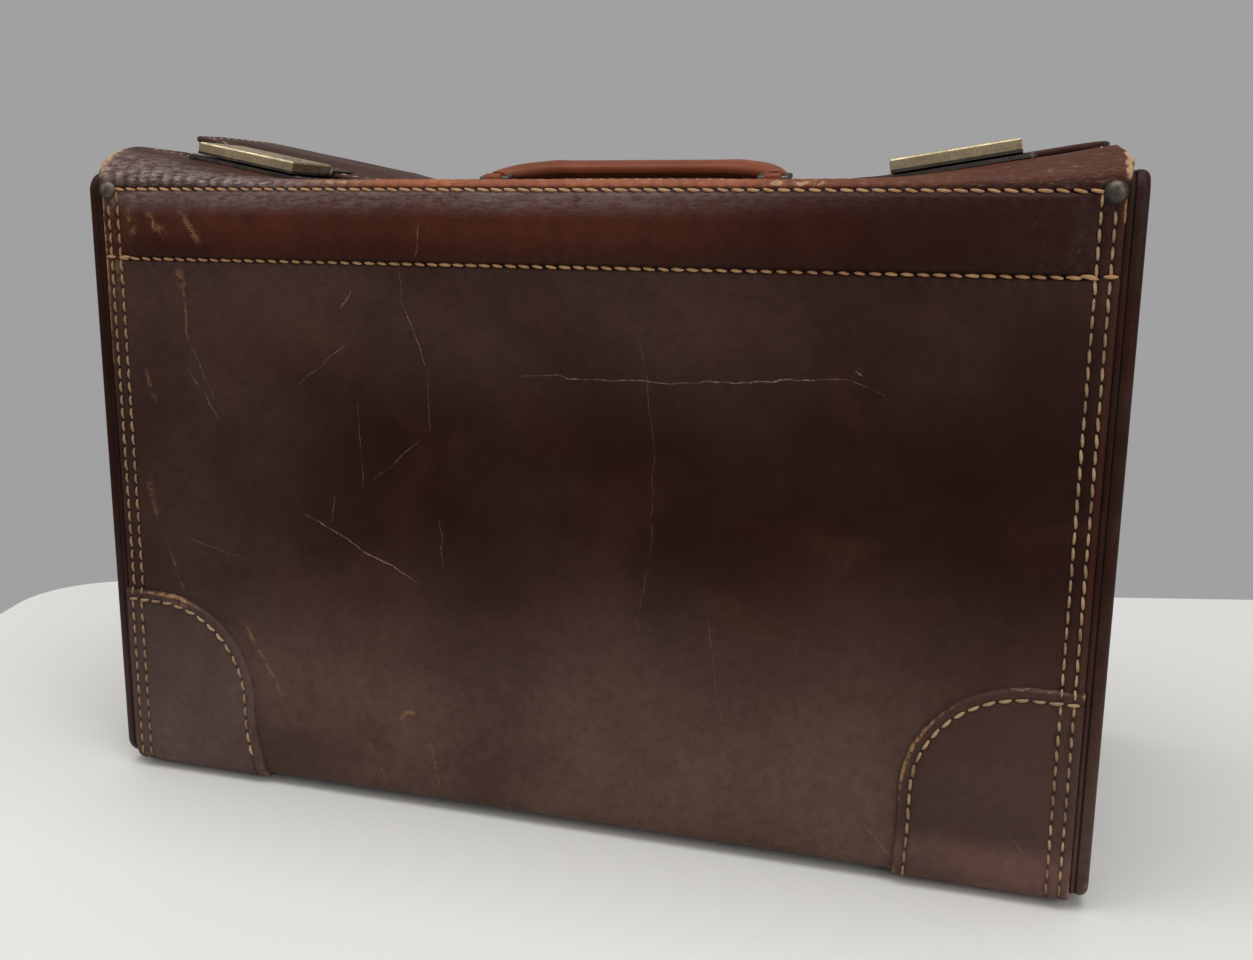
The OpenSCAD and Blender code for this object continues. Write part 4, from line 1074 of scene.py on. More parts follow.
@dataclass
class FlapHide:
    """Front or back flap with the ridge that joins it to its wall, from the top stitch line to its free edge."""

    form: CaseForm
    side: Side
    body: str
    reach: float
    half: float
    material: Material
    lining: Material
    seed: int
    corner_r: float = 14.0
    border: float = 6.0
    hump: float = 4.2
    full_curl: float = 17.9
    lining_start: float = 8.5
    lining_inset: float = 6.0

    NEAR_EDGE = (0, 0.3, 0.8, 1.5, 2.5, 4, 5, 5.6, 6, 6.4, 7, 8, 10, 12.2, 14)
    RIDGE_ROWS = 17

    def top(self, x: Array, d: Array) -> Array:
        """Height of the grain side at distance d from the seam."""
        f = self.form
        if self.side is Side.FRONT:
            sag = (2.2 + f.dip(x)) * smooth(d / 20)
            furrow = 3.0 * bell(x + 206.5, 8.5) * smooth((d - 18) / 45)
            return f.seam_z - sag - furrow + f.lift(x) * np.sin(math.pi / 2 * np.clip(d / 20, 0, 1))
        clear = smooth((128 - d) / 22)
        clear = clear + (1 - clear) * 0.85 * smooth((-186 - x) / 16)
        hump = self.hump * smooth((-104 - x) / 26) * clear * smooth((d - 20) / 50)
        return f.seam_z + (2.4 - f.dip(x)) * smooth(d / 60) + f.lift(x) * smooth(d / 34) + hump

    def outline(self, d: Array) -> Array:
        """Half length of the flap at distance d from the seam."""
        past = np.maximum(0, d - (self.reach - self.corner_r))
        half = self.half - self.corner_r + np.sqrt(np.clip(self.corner_r**2 - past**2, 0, None))
        if self.side is Side.BACK:
            half = half - 7 * (1 - smooth((d - 12) / 6))
        return half

    def rim(self, x: Array, d: Array) -> Array:
        """Distance inside the flap's outline."""
        a, b = np.abs(x) - (self.half - self.corner_r), d - (self.reach - self.corner_r)
        corner = self.corner_r - np.hypot(np.maximum(a, 0), np.maximum(b, 0))
        plain = np.minimum(self.reach - d, self.half - np.abs(x))
        if self.side is Side.BACK:
            plain = np.minimum(plain, self.outline(d) - np.abs(x))
        return np.where((a > 0) & (b > 0), corner, plain)

    def skin(self, x: Array, d: Array) -> Array:
        """Grain side with its border groove and rounded edge."""
        rim = self.rim(x, d)
        waves = 0.22 * ripple(x / 90, d / 50, self.seed) * smooth(rim / 20) * smooth((d - 4) / 10)
        groove = 0.34 * bell(rim - self.border, 0.85) * smooth((d - 6) / 5)
        return self.top(x, d) + waves - groove - 0.95 * (1 - np.clip(rim / 1.5, 0, 1)) ** 2

    def wear(self, x_ridge: Array, steps: Array, away: Array, rim: Array, d: Array) -> dict[str, Array]:
        """Traits of the ridge and of the flap behind it.

        Args:
            x_ridge: Places along the case of the ridge's points.
            steps: Share of the way over the ridge of each of its rows.
            away: Height of the ridge's points under the top stitch line.
            rim: Distance inside the outline of the flap's points.
            d: Distance from the seam of the flap's points.

        Returns:
            Named values per point.
        """
        plain = np.zeros_like(rim)
        front = self.side is Side.FRONT
        worn = 0.9 * bell(self.form.panel_half - np.abs(x_ridge), np.where(x_ridge < 0, 3.2, 1.6)) * smooth(steps * 3)
        worn = worn + 0.16 * bell(steps - 0.62, 0.26)
        if front:
            blotches = bell(x_ridge - 93, 2.6) + bell(x_ridge - 102, 3.6) + 0.8 * bell(x_ridge - 110, 2.2)
            worn = worn + 0.85 * blotches * bell(steps - 0.4, 0.17)
            worn = worn + 0.35 * bell(x_ridge + 100, 26) * bell(steps - 0.5, 0.22)
        along = smooth((x_ridge + 150) / 110) * (0.95 - 0.5 * smooth((x_ridge - 60) / 130))
        puckers = bell(steps - 0.24, 0.13) * (0.55 + 0.45 * beat(x_ridge))
        # Painted sheen on the left part of the ridge and over the puckers there.
        haze = 0.38 * smooth((-60 - x_ridge) / 90) * bell(steps - 0.5, 0.36)
        pairs = {
            # groove: painted shade in the ridge's top stitch line and in the flap's border groove.
            "groove": (bell(away, 1.0) * smooth((self.form.dark_end - np.abs(x_ridge)) / 2),
                       0.6 * bell(rim - self.border, 0.6) * smooth((d - 6) / 5)),
            "worn": (np.clip(worn, 0, 1), (0.4 if front else 0.2) * bell(rim, 1.1)),
            "warmth": (along * smooth((steps - 0.08) / 0.2), 0.15 * bell(d - 8, 22)),
            "shade": (0.6 * smooth((x_ridge - 30) / 130), 0.3 + plain),
            "haze": (haze + 0.75 * smooth((-90 - x_ridge) / 60) * puckers, plain),
            "ridge": (smooth((1 - steps) / 0.25) + 0 * x_ridge, plain),
        }
        return {key: np.concatenate([on_ridge, on_flap[1:]]) for key, (on_ridge, on_flap) in pairs.items()}

    def grid(self) -> tuple[Array, Array, dict[str, Array]]:
        """Grain side, flesh side and traits of the ridge and the flap."""
        f = self.form
        shares = f.columns() / f.panel_half
        x0 = shares * f.panel_half
        curl = np.clip(f.lift(x0) / self.full_curl, 0, 1)
        first = 3 + 15 * curl
        back = np.concatenate([self.NEAR_EDGE, np.arange(16.5, self.reach - 4, 2.6)])[::-1]
        d = first + (self.reach - first) * (1 - back / (self.reach - 3))[:, None]
        x_flap = shares * self.outline(d)
        flap = np.stack([x_flap, f.hinge - d, self.skin(x_flap, d)], -1)
        steps = np.linspace(0, 1, self.RIDGE_ROWS)[:, None]
        spread = (self.outline(first) - f.panel_half) * smooth(steps * 2 - 1)
        x_ridge = shares * (f.panel_half + spread + 1.7 * np.sin(math.pi * steps) * curl)
        a = np.stack([f.face + f.wall(x0, np.full_like(x0, f.band_top)), np.full_like(x0, f.band_top)], -1)
        b = np.stack([f.hinge - first, self.skin(x_ridge[-1], first)], -1)
        slope = (self.top(x0, first + 0.2) - self.top(x0, first - 0.2)) / 0.4
        span = np.linalg.norm(b - a, axis=1)
        lean = 0.12 + np.where(x0 < 0, 0.25, 0.2) * curl
        leave = np.stack([lean, np.ones_like(lean)], -1) * (span * (1.05 + 0.2 * curl))[:, None]
        arrive = unit(np.stack([-np.ones_like(slope), slope], -1)) * (span * 1.15)[:, None]
        t = steps[..., None]
        line = ((2 * t**3 - 3 * t**2 + 1) * a + (t**3 - 2 * t**2 + t) * leave
                + (-2 * t**3 + 3 * t**2) * b + (t**3 - t**2) * arrive)
        away, wave = f.band_top - line[..., 1], beat(x_ridge)
        swell = 0.26 * bell(np.abs(away) - 2.7, 1.7) * (wave + 0.25) - 1.05 * bell(away, 1.15) * (1 - 0.35 * wave)
        swell = (swell + 1.05 * (1 - 0.35 * wave[:1]) * bell(steps, 0.08)) * f.row_end(x_ridge)
        edge_in = f.panel_half - np.abs(x_ridge)
        side_round = 0.75 * (1 - np.clip(edge_in / 1.3, 0, 1)) ** 2
        swell = swell * smooth(steps / 0.06) - side_round * smooth(steps / 0.1)
        run = unit(np.gradient(line, axis=0))
        out = np.stack([run[..., 1], -run[..., 0]], -1)
        line = line + out * swell[..., None]
        under = line - out * (f.leather_t - 0.9 * np.sin(math.pi * t))
        ease = smooth((t - 0.55) / 0.45)
        under = under * (1 - ease) + (line - (0, f.flap_t)) * ease
        rim = self.rim(x_flap, d)
        lower = self.top(x_flap, d) - f.flap_t + 0.9 * (1 - np.clip(rim / 1.2, 0, 1)) ** 2
        flap_under = np.stack([x_flap, f.hinge - d, lower], -1)
        grain = np.concatenate([np.concatenate([x_ridge[..., None], line], -1), flap[1:]])
        flesh = np.concatenate([np.concatenate([x_ridge[..., None], under], -1), flap_under[1:]])
        sign = (1.0, self.side.value, 1.0)
        return grain * sign, flesh * sign, self.wear(x_ridge, steps, away, rim, d)

    def build(self) -> Item:
        """Makes the ridge and flap as one piece, curving over from the case to its cover."""
        made = shell(f"{self.side.name.lower()}_flap_hide", *self.grid(), self.material)
        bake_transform(made)
        node = "front_flap" if self.side is Side.FRONT else "rear_flap"
        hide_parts(node)
        return made

    def build_lining(self) -> Item:
        """Makes the cloth glued under the flap."""
        f, s = self.form, self.side.value
        start, inset = self.lining_start, self.lining_inset
        near, far = np.linspace(start, self.reach - 20, 26), np.linspace(self.reach - 19, self.reach - inset, 12)
        d = np.concatenate([near, far])
        half = np.minimum(self.outline(d + inset * (d > self.reach - 20)), self.half) - inset
        x = np.linspace(-1, 1, 150)[None, :] * half[:, None]
        dd = d[:, None] + 0 * x
        top = self.top(x, dd) - f.flap_t - 0.2
        rim = np.minimum(half[:, None] - np.abs(x), np.minimum(dd - start, self.reach - inset - dd))
        low = top - 0.75 + 0.35 * (1 - np.clip(rim / 1.5, 0, 1)) ** 2
        outer, inner = (np.stack([x, s * (f.hinge - dd), z], -1) for z in (low, top))
        node = "front_flap_lining" if self.side is Side.FRONT else "rear_flap_lining"
        made = shell(f"{node}_cloth", outer, inner, {}, self.lining)
        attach(made, self.body)
        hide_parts(node)
        return made

    def stitches(self, rows: Stitching) -> None:
        """Adds the row round the flap's free border."""
        s, r = self.side.value, self.corner_r - self.border
        side_x, far = self.half - self.border, self.reach - self.border
        near, sunk = (27.0, 0.1) if self.side is Side.FRONT else (21.0, -0.12)
        up = [(side_x, d) for d in np.arange(near, far - r, 2.0)]
        bend = [(side_x - r + r * math.cos(a), far - r + r * math.sin(a)) for a in np.radians(np.linspace(0, 90, 9))]
        across = [(x, far) for x in np.arange(side_x - r - 3, 0, -3.0)]
        half = np.array(up + bend + across)
        x, d = np.concatenate([half, (half * (-1, 1))[::-1]]).T
        tilt = (self.top(x + 1, d) - self.top(x - 1, d)) / 2
        pitch = (self.top(x, d + 1) - self.top(x, d - 1)) / 2
        places = np.stack([x, s * (self.form.hinge - d), self.skin(x, d) + sunk], -1)
        rows.add(places, unit(np.stack([-tilt, s * pitch, np.ones_like(x)], -1)), 0.06, 0.85)


@dataclass
class CornerPatch:
    """Leather patch over a bottom corner, stitched inside its skived edge."""

    form: CaseForm
    side: Side
    end: End
    material: Material

    TAIL = (83.9, 87, 91)
    NEAR_EDGE = (0, 0.25, 0.6, 1.0, 1.5, 2.2, 2.9, 3.5, 3.9, 4.3, 4.8, 5.3, 5.8, 6.6, 8.2, 10.6)
    NEAR_ROW = (-1.2, -0.5, 0, 0.5, 1.2)

    def flare(self, z: Array) -> Array:
        """How far the patch's inner edge leans outwards at the foot, more on the left."""
        return (4.5 if self.end is End.LEFT else 1.0) * smooth((34 - z) / 34)

    def build(self) -> Item:
        """Makes the patch over its wall."""
        f = self.form
        s, e = self.side.value, self.end.value
        top, full = f.floor_z + f.patch_h, f.patch_w
        inner_x = f.panel_half - full
        near = np.array(self.NEAR_EDGE)
        q, z, out = f.section(self.TAIL, [*np.arange(13, top - 52, 4), *np.arange(top - 52, top - 13, 1.6),
                                          *(top - near)[::-1]])
        down = np.clip(f.patch_r - (top - z), 0, None)
        start = inner_x + f.patch_r - np.sqrt(np.clip(f.patch_r**2 - down**2, 0, None))
        rows_in = [full - (f.panel_half - p) for p in f.rows_x]
        local = sorted({*near.tolist(), *np.arange(13.5, rows_in[0] - 1.5, 3.0).tolist(),
                        *[p + k for p in rows_in for k in self.NEAR_ROW], full - 2, full - 1, full - 0.4, full})
        x = start[:, None] + (f.panel_half - start[:, None]) * (np.array(local) / full)[None, :]
        shown = x - self.flare(z)[:, None] * smooth((f.panel_half - x) / full)
        zz = z[:, None] + 0 * x
        on_wall = (out[:, 0] > 0.99)[:, None]
        base = np.where(on_wall, f.band(x, zz) + f.crown(x, zz), f.crown(x, zz * 0 + 14))
        edge = f.panel_half - x
        over_floor = np.maximum(zz, f.floor_z + 2)
        rise = f.patch_rise(x, over_floor) - 0.7 * (1 - np.clip(edge / 1.2, 0, 1)) ** 2
        tail_edge = np.clip((q - self.TAIL[0]) / 1.5, 0.05, 1)[:, None]
        rise = rise * np.where(zz <= f.floor_z + 0.01, np.sqrt(tail_edge), 1)

        def lay(offset: Array) -> Array:
            """Points at an offset from the wall's section."""
            return np.stack([e * shown, s * (q[:, None] + out[:, :1] * offset), zz + out[:, 1:] * offset], -1)

        border = f.patch_border(x, over_floor)
        patchy = np.where(e < 0, bell(x - 196, 13), 0.8 * bell(zz - 58, 14) + 0.13)
        worn = (0.22 + 0.7 * patchy) * bell(border - 0.9, 1.0) + 0.2 * bell(zz - 7, 6) + 0.3 * bell(edge, 1.0)
        # Painted shade in the patch's border groove and along its stitch rows.
        groove = 0.75 * bell(border - f.patch_inset, 0.65)
        for place in f.rows_x:
            groove = np.maximum(groove, 0.75 * bell(x - place, 0.6))
        name = f"{self.side.name.lower()}_{self.end.name.lower()}"
        made = shell(f"corner_patch_{name}_hide", lay(base + rise), lay(base - 0.25),
                     {"worn": np.clip(worn, 0, 1), "groove": groove}, self.material)
        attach(made, "case_body")
        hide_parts(f"corner_patch_{name}")
        return made

    def stitches(self, rows: Stitching) -> None:
        """Adds the row inside the patch's curved edge."""
        f = self.form
        s, e = self.side.value, self.end.value
        inner_x, top = f.panel_half - f.patch_w, f.floor_z + f.patch_h
        r = f.patch_r - f.patch_inset
        low = 17.0 if e < 0 and s < 0 else 7.0
        up = [(inner_x + f.patch_inset, z) for z in np.arange(low, top - f.patch_r, 3.0)]
        arc = [(inner_x + f.patch_r - r * math.cos(a), top - f.patch_r + r * math.sin(a))
               for a in np.radians(np.linspace(0, 90, 18))]
        out = [(x, top - f.patch_inset) for x in np.arange(inner_x + f.patch_r + 3, 219.5, 3.0)]
        x, z = np.array(up + arc + out).T
        q = f.face + f.crown(x, z) + f.patch_rise(x, z) + 0.5
        x = x - self.flare(z) * smooth((f.panel_half - x) / f.patch_w)
        rows.add(np.stack([e * x, s * q, z], -1), (0, s, 0), 0.05)


@dataclass
class EndCap:
    """Raised leather end with a rounded rim in two layers and a stitched border."""

    form: CaseForm
    end: End
    material: Material
    thick: float = 7.5
    corner_r: float = 9.0
    rim_r: float = 3.0
    low: float = 4.0
    high: float = 290.0
    border: float = 8.5

    SIDE_STEPS = ((1.2, 0.02), (0.4, 0.1), (0.0, 0.8), (0.0, 1.7), (0.25, 2.15), (0.5, 2.4), (0.25, 2.65), (0.0, 3.1),
                  (0.0, 3.9))
    LAYER_GAP = (4, 5, 6)
    FACE_INSETS = (4.5, 6, 7.2, 7.9, 8.5, 9.1, 9.8, 11, 14, 18, 24, 32, 42, 54, 66, 78, 88, 95, 99, 100.8)

    def loop(self, inset: float) -> Array:
        """Rounded rectangle at an inset from the cap's outline, as Y and Z columns."""
        half_y, half_z = self.form.face - inset, (self.high - self.low) / 2 - inset
        r = max(self.corner_r - inset, min(1.5, half_y * 0.9), 0.01)
        return rounded_loop(half_y, half_z, r, 10, 45) + (0, (self.high + self.low) / 2)

    def build(self) -> Item:
        """Makes the cap."""
        e = self.end.value
        rim = [(self.rim_r * (1 - math.cos(a)), self.thick - self.rim_r + self.rim_r * math.sin(a))
               for a in np.radians(np.linspace(0, 90, 8))]
        stations = [*self.SIDE_STEPS, *rim, *((inset, self.thick) for inset in self.FACE_INSETS)]
        rings, worn, groove = [], [], []
        for number, (inset, out) in enumerate(stations):
            y, z = self.loop(inset).T
            x, dark = self.form.panel_half + out + 0 * y, 0.0
            if number >= len(self.SIDE_STEPS) + len(rim):
                x = x + 0.9 * smooth((inset - 9) / 40) - 0.4 * bell(inset - self.border, 0.9)
                x = x + 0.35 * ripple(y / 90, z / 110, 11 + e) * smooth((inset - 10) / 25)
                # Painted shade in the stitch groove round the face.
                dark = 0.7 * bell(inset - self.border, 0.6)
            elif number in self.LAYER_GAP:
                # Painted shade in the gap between the rim's two layers.
                dark = 0.8
            elif number < 2:
                # Painted shade in the joint where the cap meets the walls.
                dark = 0.7
            rings.append(np.stack([e * x, y, z], -1))
            rub = 0.24 * bell(inset - 0.9, 0.9) if out > 5 else 0.05
            worn.append(np.clip(rub + 0.25 * bell(z - 5, 9) * (out > 3), 0, 1))
            groove.append(np.full(len(y), float(dark)))
        name = self.end.name.lower()
        traits = {"worn": np.stack(worn), "groove": np.stack(groove)}
        made = tube(f"{name}_end_hide", np.stack(rings), traits, self.material)
        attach(made, "case_body")
        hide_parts(f"{name}_end_cap")
        return made

    def stitches(self, rows: Stitching) -> None:
        """Adds the row round the cap's face."""
        loop = self.loop(self.border)
        y, z = np.concatenate([loop, loop[:1]]).T
        x = np.full(len(y), self.end.value * (self.form.panel_half + self.thick - 0.6))
        rows.add(np.stack([x, y, z], -1), (self.end.value, 0, 0), 0.05)


@dataclass
class MouthBinding:
    """Leather binding folded over the top edges of the boards and the lining, all round the mouth."""

    material: Material
    long_half: float = 220.8
    short_half: float = 97.9

    SECTION = ((0, 277.4), (0, 278.6), (0.1, 279.2), (0.22, 279.55), (0.4, 279.7), (0.6, 279.7), (0.8, 279.5),
               (0.93, 279.1), (1.0, 278.3), (1.0, 272), (1.0, 266.4), (0.97, 265.9), (0.9, 266.1), (0.88, 272),
               (0.88, 277.9), (0.6, 278.62), (0.3, 278.62), (0.12, 277.4))

    def build(self) -> Item:
        """Makes the binding as one closed ring."""
        rings = []
        for share, z in self.SECTION:
            loop = rounded_loop(self.long_half - 7.7 * share, self.short_half - 4.6 * share, 2.0, 3, 25)
            rings.append(np.column_stack([loop, np.full(len(loop), z)]))
        grid = np.array(rings)
        zero = np.zeros(grid.shape[:2])
        made = tube("mouth_binding", grid, {"worn": zero + 0.3, "groove": zero}, self.material, ring_closed=True)
        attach(made, "case_body")
        return made


@dataclass
class Handle:
    """Caramel leather grip round its steel core, with a skived seam along its edge."""

    material: Material
    mount_x: float = 71.0
    start: float = 4.7
    reach: float = 8.0
    rise: float = 28.0
    grip_half: float = 45.0
    pivot: tuple[float, float] = (6.0, 290.4)
    lean: float = 12.0
    end_w: float = 9.2
    end_t: float = 5.6
    grip_w: float = 15.0
    grip_t: float = 8.6

    SIDES = 36
    SQUARENESS = 0.78

    def line(self) -> Array:
        """Middle line of the handle in its own plane."""
        arc = []
        for a in np.radians(np.linspace(0, 90, 15)):
            round_x, round_y, flat = math.cos(a), math.sin(a), 1 / (math.cos(a) + math.sin(a))
            pull = 1 - 0.45 * (1 - flat)
            arc.append((self.grip_half + (self.mount_x - self.grip_half) * round_x * pull,
                        self.reach + 1 + (self.rise - self.reach - 1) * round_y * pull))
        half = [(self.mount_x, self.start), (self.mount_x, 6.2), (self.mount_x, 7.6)] + arc
        half += [(x, self.rise) for x in np.linspace(self.grip_half, 0, 13)[1:]]
        half = np.array(half)
        return np.concatenate([half * (-1, 1), half[::-1][1:]])

    def leaned(self, points: Array) -> Array:
        """Turns points of the flat handle up about its pins."""
        a = math.radians(self.lean)
        y, z = points[..., 1] - self.pivot[0], points[..., 2] - self.pivot[1]
        return np.stack([points[..., 0], self.pivot[0] + y * math.cos(a) - z * math.sin(a),
                         self.pivot[1] + y * math.sin(a) + z * math.cos(a)], -1)

    def build(self) -> Item:
        """Makes the grip, folded back and leaning up a little."""
        line = self.line()
        angle = np.linspace(0, 2 * math.pi, self.SIDES, endpoint=False)
        run = unit(np.gradient(line, axis=0))
        share = smooth((line[:, 1] - self.reach + 4) / (self.rise - self.reach))
        c, s = np.cos(angle), np.sin(angle)
        flat, deep = np.sign(c) * np.abs(c) ** self.SQUARENESS, np.sign(s) * np.abs(s) ** self.SQUARENESS
        rings, groove, worn = [], [], []
        for i, ((x, y), (u, v)) in enumerate(zip(line, run)):
            bulge = 1 + 0.07 * bell(abs(x) - self.grip_half - 3, 5)
            w = (self.end_w + (self.grip_w - self.end_w) * share[i]) / 2 * bulge
            t = (self.end_t + (self.grip_t - self.end_t) * share[i]) / 2 * bulge
            px, py = x - v * w * flat, y + u * w * flat
            pz = t * deep * (1 - 0.06 * bell(np.abs(flat) - 0.72, 0.1))
            rings.append(self.leaned(np.stack([px, self.pivot[0] + py, self.pivot[1] + pz], -1)))
            # Dark line on the grip's two long faces below their middle, along the seam: painted shade.
            groove.append(np.clip(bell(deep + 0.28, 0.2) * (np.abs(flat) > 0.6), 0, 1) * 0.8)
            worn.append(0.3 * bell(np.abs(deep) - 0.75, 0.2) * (np.abs(flat) > 0.5) * share[i])
        traits = {"groove": np.stack(groove), "worn": np.stack(worn)}
        made = tube("handle_grip_hide", np.stack(rings), traits, self.material)
        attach(made, "handle")
        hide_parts("handle_grip")
        return made

    def stitches(self, rows: Stitching) -> None:
        """Adds the row along the grip's lower face."""
        x = np.linspace(-self.grip_half - 8, self.grip_half + 8, 60)
        for across in (-4.6, 4.6):
            y = self.pivot[0] + self.rise + across - 0.12 * np.clip(np.abs(x) - self.grip_half, 0, None) ** 1.2
            z = np.full_like(x, self.pivot[1] - self.grip_t / 2 * 0.955)
            keep = np.abs(x) <= self.grip_half
            rows.add(self.leaned(np.stack([x, y, z], -1)[keep]), (0, math.sin(math.radians(self.lean)), -1), 0.05)


class Dresser:
    """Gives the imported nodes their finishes, and stands eased copies in for leather and lock pieces."""

    EASED = (
        (("corner_rivets",), "case_body", "bronze", 0.1),
        (("left_end_panel", "right_end_panel", "bottom_leather"), "case_body", "hide", 0.8),
        (("lining",), "case_body", "cloth", 0.4),
        (("lock_case_left", "lock_case_right"), "rear_cover", "brass", 0.28),
        (("strike_plate_left", "strike_plate_right"), "front_cover", "bronze", 0.25),
        (("lock_back_plate_left", "lock_back_plate_right"), "rear_cover", "bronze", 0.2),
        (("lock_rivets", "handle_rivets"), "rear_cover", "bronze", 0.1),
        (("handle_ring_left", "handle_ring_right"), "handle", "bronze", 0.1),
        (("handle_mount_left", "handle_mount_right"), "rear_cover", "grip", 0.25),
    )
    KEPT = {
        "board": ("bottom_board", "front_board", "back_board", "left_end_board", "right_end_board"),
        "steel": ("frame_bar_front", "frame_bar_back", "frame_bar_left", "frame_bar_right", "frame_rivets",
                  "handle_backing_plate", "handle_core", "lock_bolt_left", "lock_bolt_right"),
        "brass": ("feet", "key_plug_left", "key_plug_right"),
        "bronze": ("strike_rivets",),
    }
    SLOTS = {"hide": "body_leather", "grip": "handle_leather", "cloth": "lining_cloth", "brass": "aged_brass",
             "bronze": "dark_bronze"}
    SHARP = 38.0
    RIVET_SHARE = 0.88

    def __init__(self, finishes: dict[str, Material], nodes: dict[str, Item]) -> None:
        """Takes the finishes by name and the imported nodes."""
        self.finishes, self.nodes = finishes, nodes

    def eased(self) -> list[Item]:
        """Makes the eased copies."""
        made = []
        for node, body, finish, ease in ((node, *rest) for names, *rest in self.EASED for node in names):
            piece = self.copy_of(node, f"{node}_dressed", ease)
            if node == "corner_rivets":
                self.trim(piece, self.RIVET_SHARE)
            piece.data.materials.append(self.finishes[finish])
            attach(piece, body)
            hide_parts(node)
            made.append(piece)
        return made

    def copy_of(self, node: str, name: str, ease: float) -> Item:
        """Copies a node's mesh, merges it and eases its edges by so many millimetres."""
        mesh = self.nodes[node].data.copy()
        mesh.materials.clear()
        work = bmesh.new()
        work.from_mesh(mesh)
        bmesh.ops.remove_doubles(work, verts=work.verts, dist=MERGE)
        bmesh.ops.dissolve_limit(work, angle_limit=math.radians(0.5), verts=work.verts, edges=work.edges)
        work.to_mesh(mesh)
        work.free()
        made = plain_object(name, mesh)
        bevel = made.modifiers.new("ease", "BEVEL")
        bevel.width, bevel.segments = ease * MM, 2
        bevel.limit_method, bevel.angle_limit = "ANGLE", math.radians(self.SHARP)
        bevel.use_clamp_overlap = bevel.harden_normals = True
        shaded(mesh, self.SHARP)
        bake(made)
        return made

    def trim(self, piece: Item, share: float) -> None:
        """Narrows each rivet about its own middle to a share of its width, for the photograph's slim domes."""
        points = np.empty(len(piece.data.vertices) * 3)
        piece.data.vertices.foreach_get("co", points)
        points = points.reshape(-1, 3)
        for right in (False, True):
            for far in (False, True):
                one = ((points[:, 0] > 0) == right) & ((points[:, 1] > 0) == far)
                if one.any():
                    middle = (points[one].max(0) + points[one].min(0)) / 2
                    points[one] = middle + (points[one] - middle) * (share, 1.0, share)
        piece.data.vertices.foreach_set("co", points.ravel())
        piece.data.update()

    def kept(self) -> None:
        """Puts finishes on the nodes that stay as packed."""
        for finish, names in self.KEPT.items():
            for name in names:
                mesh = self.nodes[name].data
                for index in range(len(mesh.materials)):
                    mesh.materials[index] = self.finishes[finish]
                if not mesh.materials:
                    mesh.materials.append(self.finishes[finish])


@dataclass
class Studio:
    """Pale table, plain soft light and the camera."""

    table: Colour = (0.66, 0.645, 0.60)
    table_speck: Colour = (0.50, 0.48, 0.44)
    wall: Colour = (0.355, 0.355, 0.355)
    camera_at: tuple[float, float, float] = (0.18839, -0.59834, 0.26789)
    lens: float = 36.34

    def build_table(self) -> Item:
        """Makes the table top with its rounded far left corner."""
        long, deep, r, turn = 1900.0, 1500.0, 60.0, math.radians(16.0)
        outline = [(0, -deep), (long, -deep), (long, 0)]
        outline += [(r + r * math.cos(a), -r + r * math.sin(a)) for a in np.radians(np.linspace(90, 180, 18))]
        c, s = math.cos(turn), math.sin(turn)
        top = np.array([(x * c - y * s - 498, x * s + y * c + 158, 0.0) for x, y in outline])
        low = top - (0, 0, 28.0)
        count = len(outline)
        faces = [list(range(count)), list(range(2 * count - 1, count - 1, -1))]
        faces += [[(k + 1) % count, k, k + count, (k + 1) % count + count] for k in range(count)]
        b = Bench("pale_laminate")
        speck = b.noise(700, 3, 0.6)
        tone = b.blend(speck.window(0.35, 0.65, (0.0, 0.12)), self.table, self.table_speck)
        material = b.done(tone, 0.5, b.bump(speck, 0.05), Specular_IOR_Level=0.35)
        made = mesh_of("table_top", np.concatenate([top, low]), faces, {}, material)
        return made

    def build_world(self) -> None:
        """Soft grey room: one tone for the light, another for what the camera and the metal see."""
        world = bpy.data.worlds.new("soft_room")
        bpy.context.scene.world = world
        world.use_nodes = True
        g = Graph(world.node_tree)
        shade = g.nodes["Background"]
        g.plug((0.93, 0.95, 1.0), shade.inputs["Color"])
        g.plug(0.55, shade.inputs["Strength"])
        seen = g.add("ShaderNodeBackground", self.wall)
        rays = g.add("ShaderNodeLightPath").outputs
        direct = g.calc("ADD", rays["Is Camera Ray"], rays["Is Glossy Ray"]) + rays["Is Transmission Ray"]
        mix = g.add("ShaderNodeMixShader", direct, shade.outputs[0], seen.outputs[0])
        g.plug(mix.outputs[0], g.nodes["World Output"].inputs[0])

    def lamp(self, name: str, at: Colour, size: tuple[float, float], power: float, tint: Colour) -> None:
        """Adds a soft box that looks at the middle of the case."""
        light = bpy.data.lights.new(name, "AREA")
        light.shape = "RECTANGLE"
        light.size, light.size_y = size
        light.energy, light.color = power, tint
        holder = bpy.data.objects.new(name, light)
        bpy.context.scene.collection.objects.link(holder)
        place = Vector(at)
        holder.location = place
        holder.rotation_euler = (Vector((0, 0, 0.16)) - place).to_track_quat("-Z", "Y").to_euler()

    def build_lights(self) -> None:
        """Adds the soft boxes."""
        self.lamp("window_left", (-1.35, -0.85, 1.15), (1.1, 1.1), 4.5, (1.0, 0.985, 0.96))
        self.lamp("ceiling", (0.0, -0.25, 1.75), (2.0, 1.3), 27, (0.97, 0.98, 1.0))
        self.lamp("fill_right", (1.5, -1.3, 0.9), (1.2, 1.2), 13.5, (1.0, 0.99, 0.97))

    def build_camera(self) -> None:
        """Adds the camera at the photograph's place and angle."""
        right = Vector((0.9541833, 0.29904602, 0.01028103))
        down = Vector((0.0684867, -0.18481946, -0.98038326))
        forward = Vector((-0.29127958, 0.93616945, -0.19683231))
        camera = bpy.data.cameras.new("camera")
        camera.lens, camera.sensor_width, camera.sensor_fit = self.lens, 36.0, "HORIZONTAL"
        camera.clip_start = 0.01
        holder = bpy.data.objects.new("camera", camera)
        bpy.context.scene.collection.objects.link(holder)
        turn = Matrix((right, -down, -forward)).transposed().to_4x4()
        holder.matrix_world = Matrix.Translation(Vector(self.camera_at)) @ turn
        bpy.context.scene.camera = holder


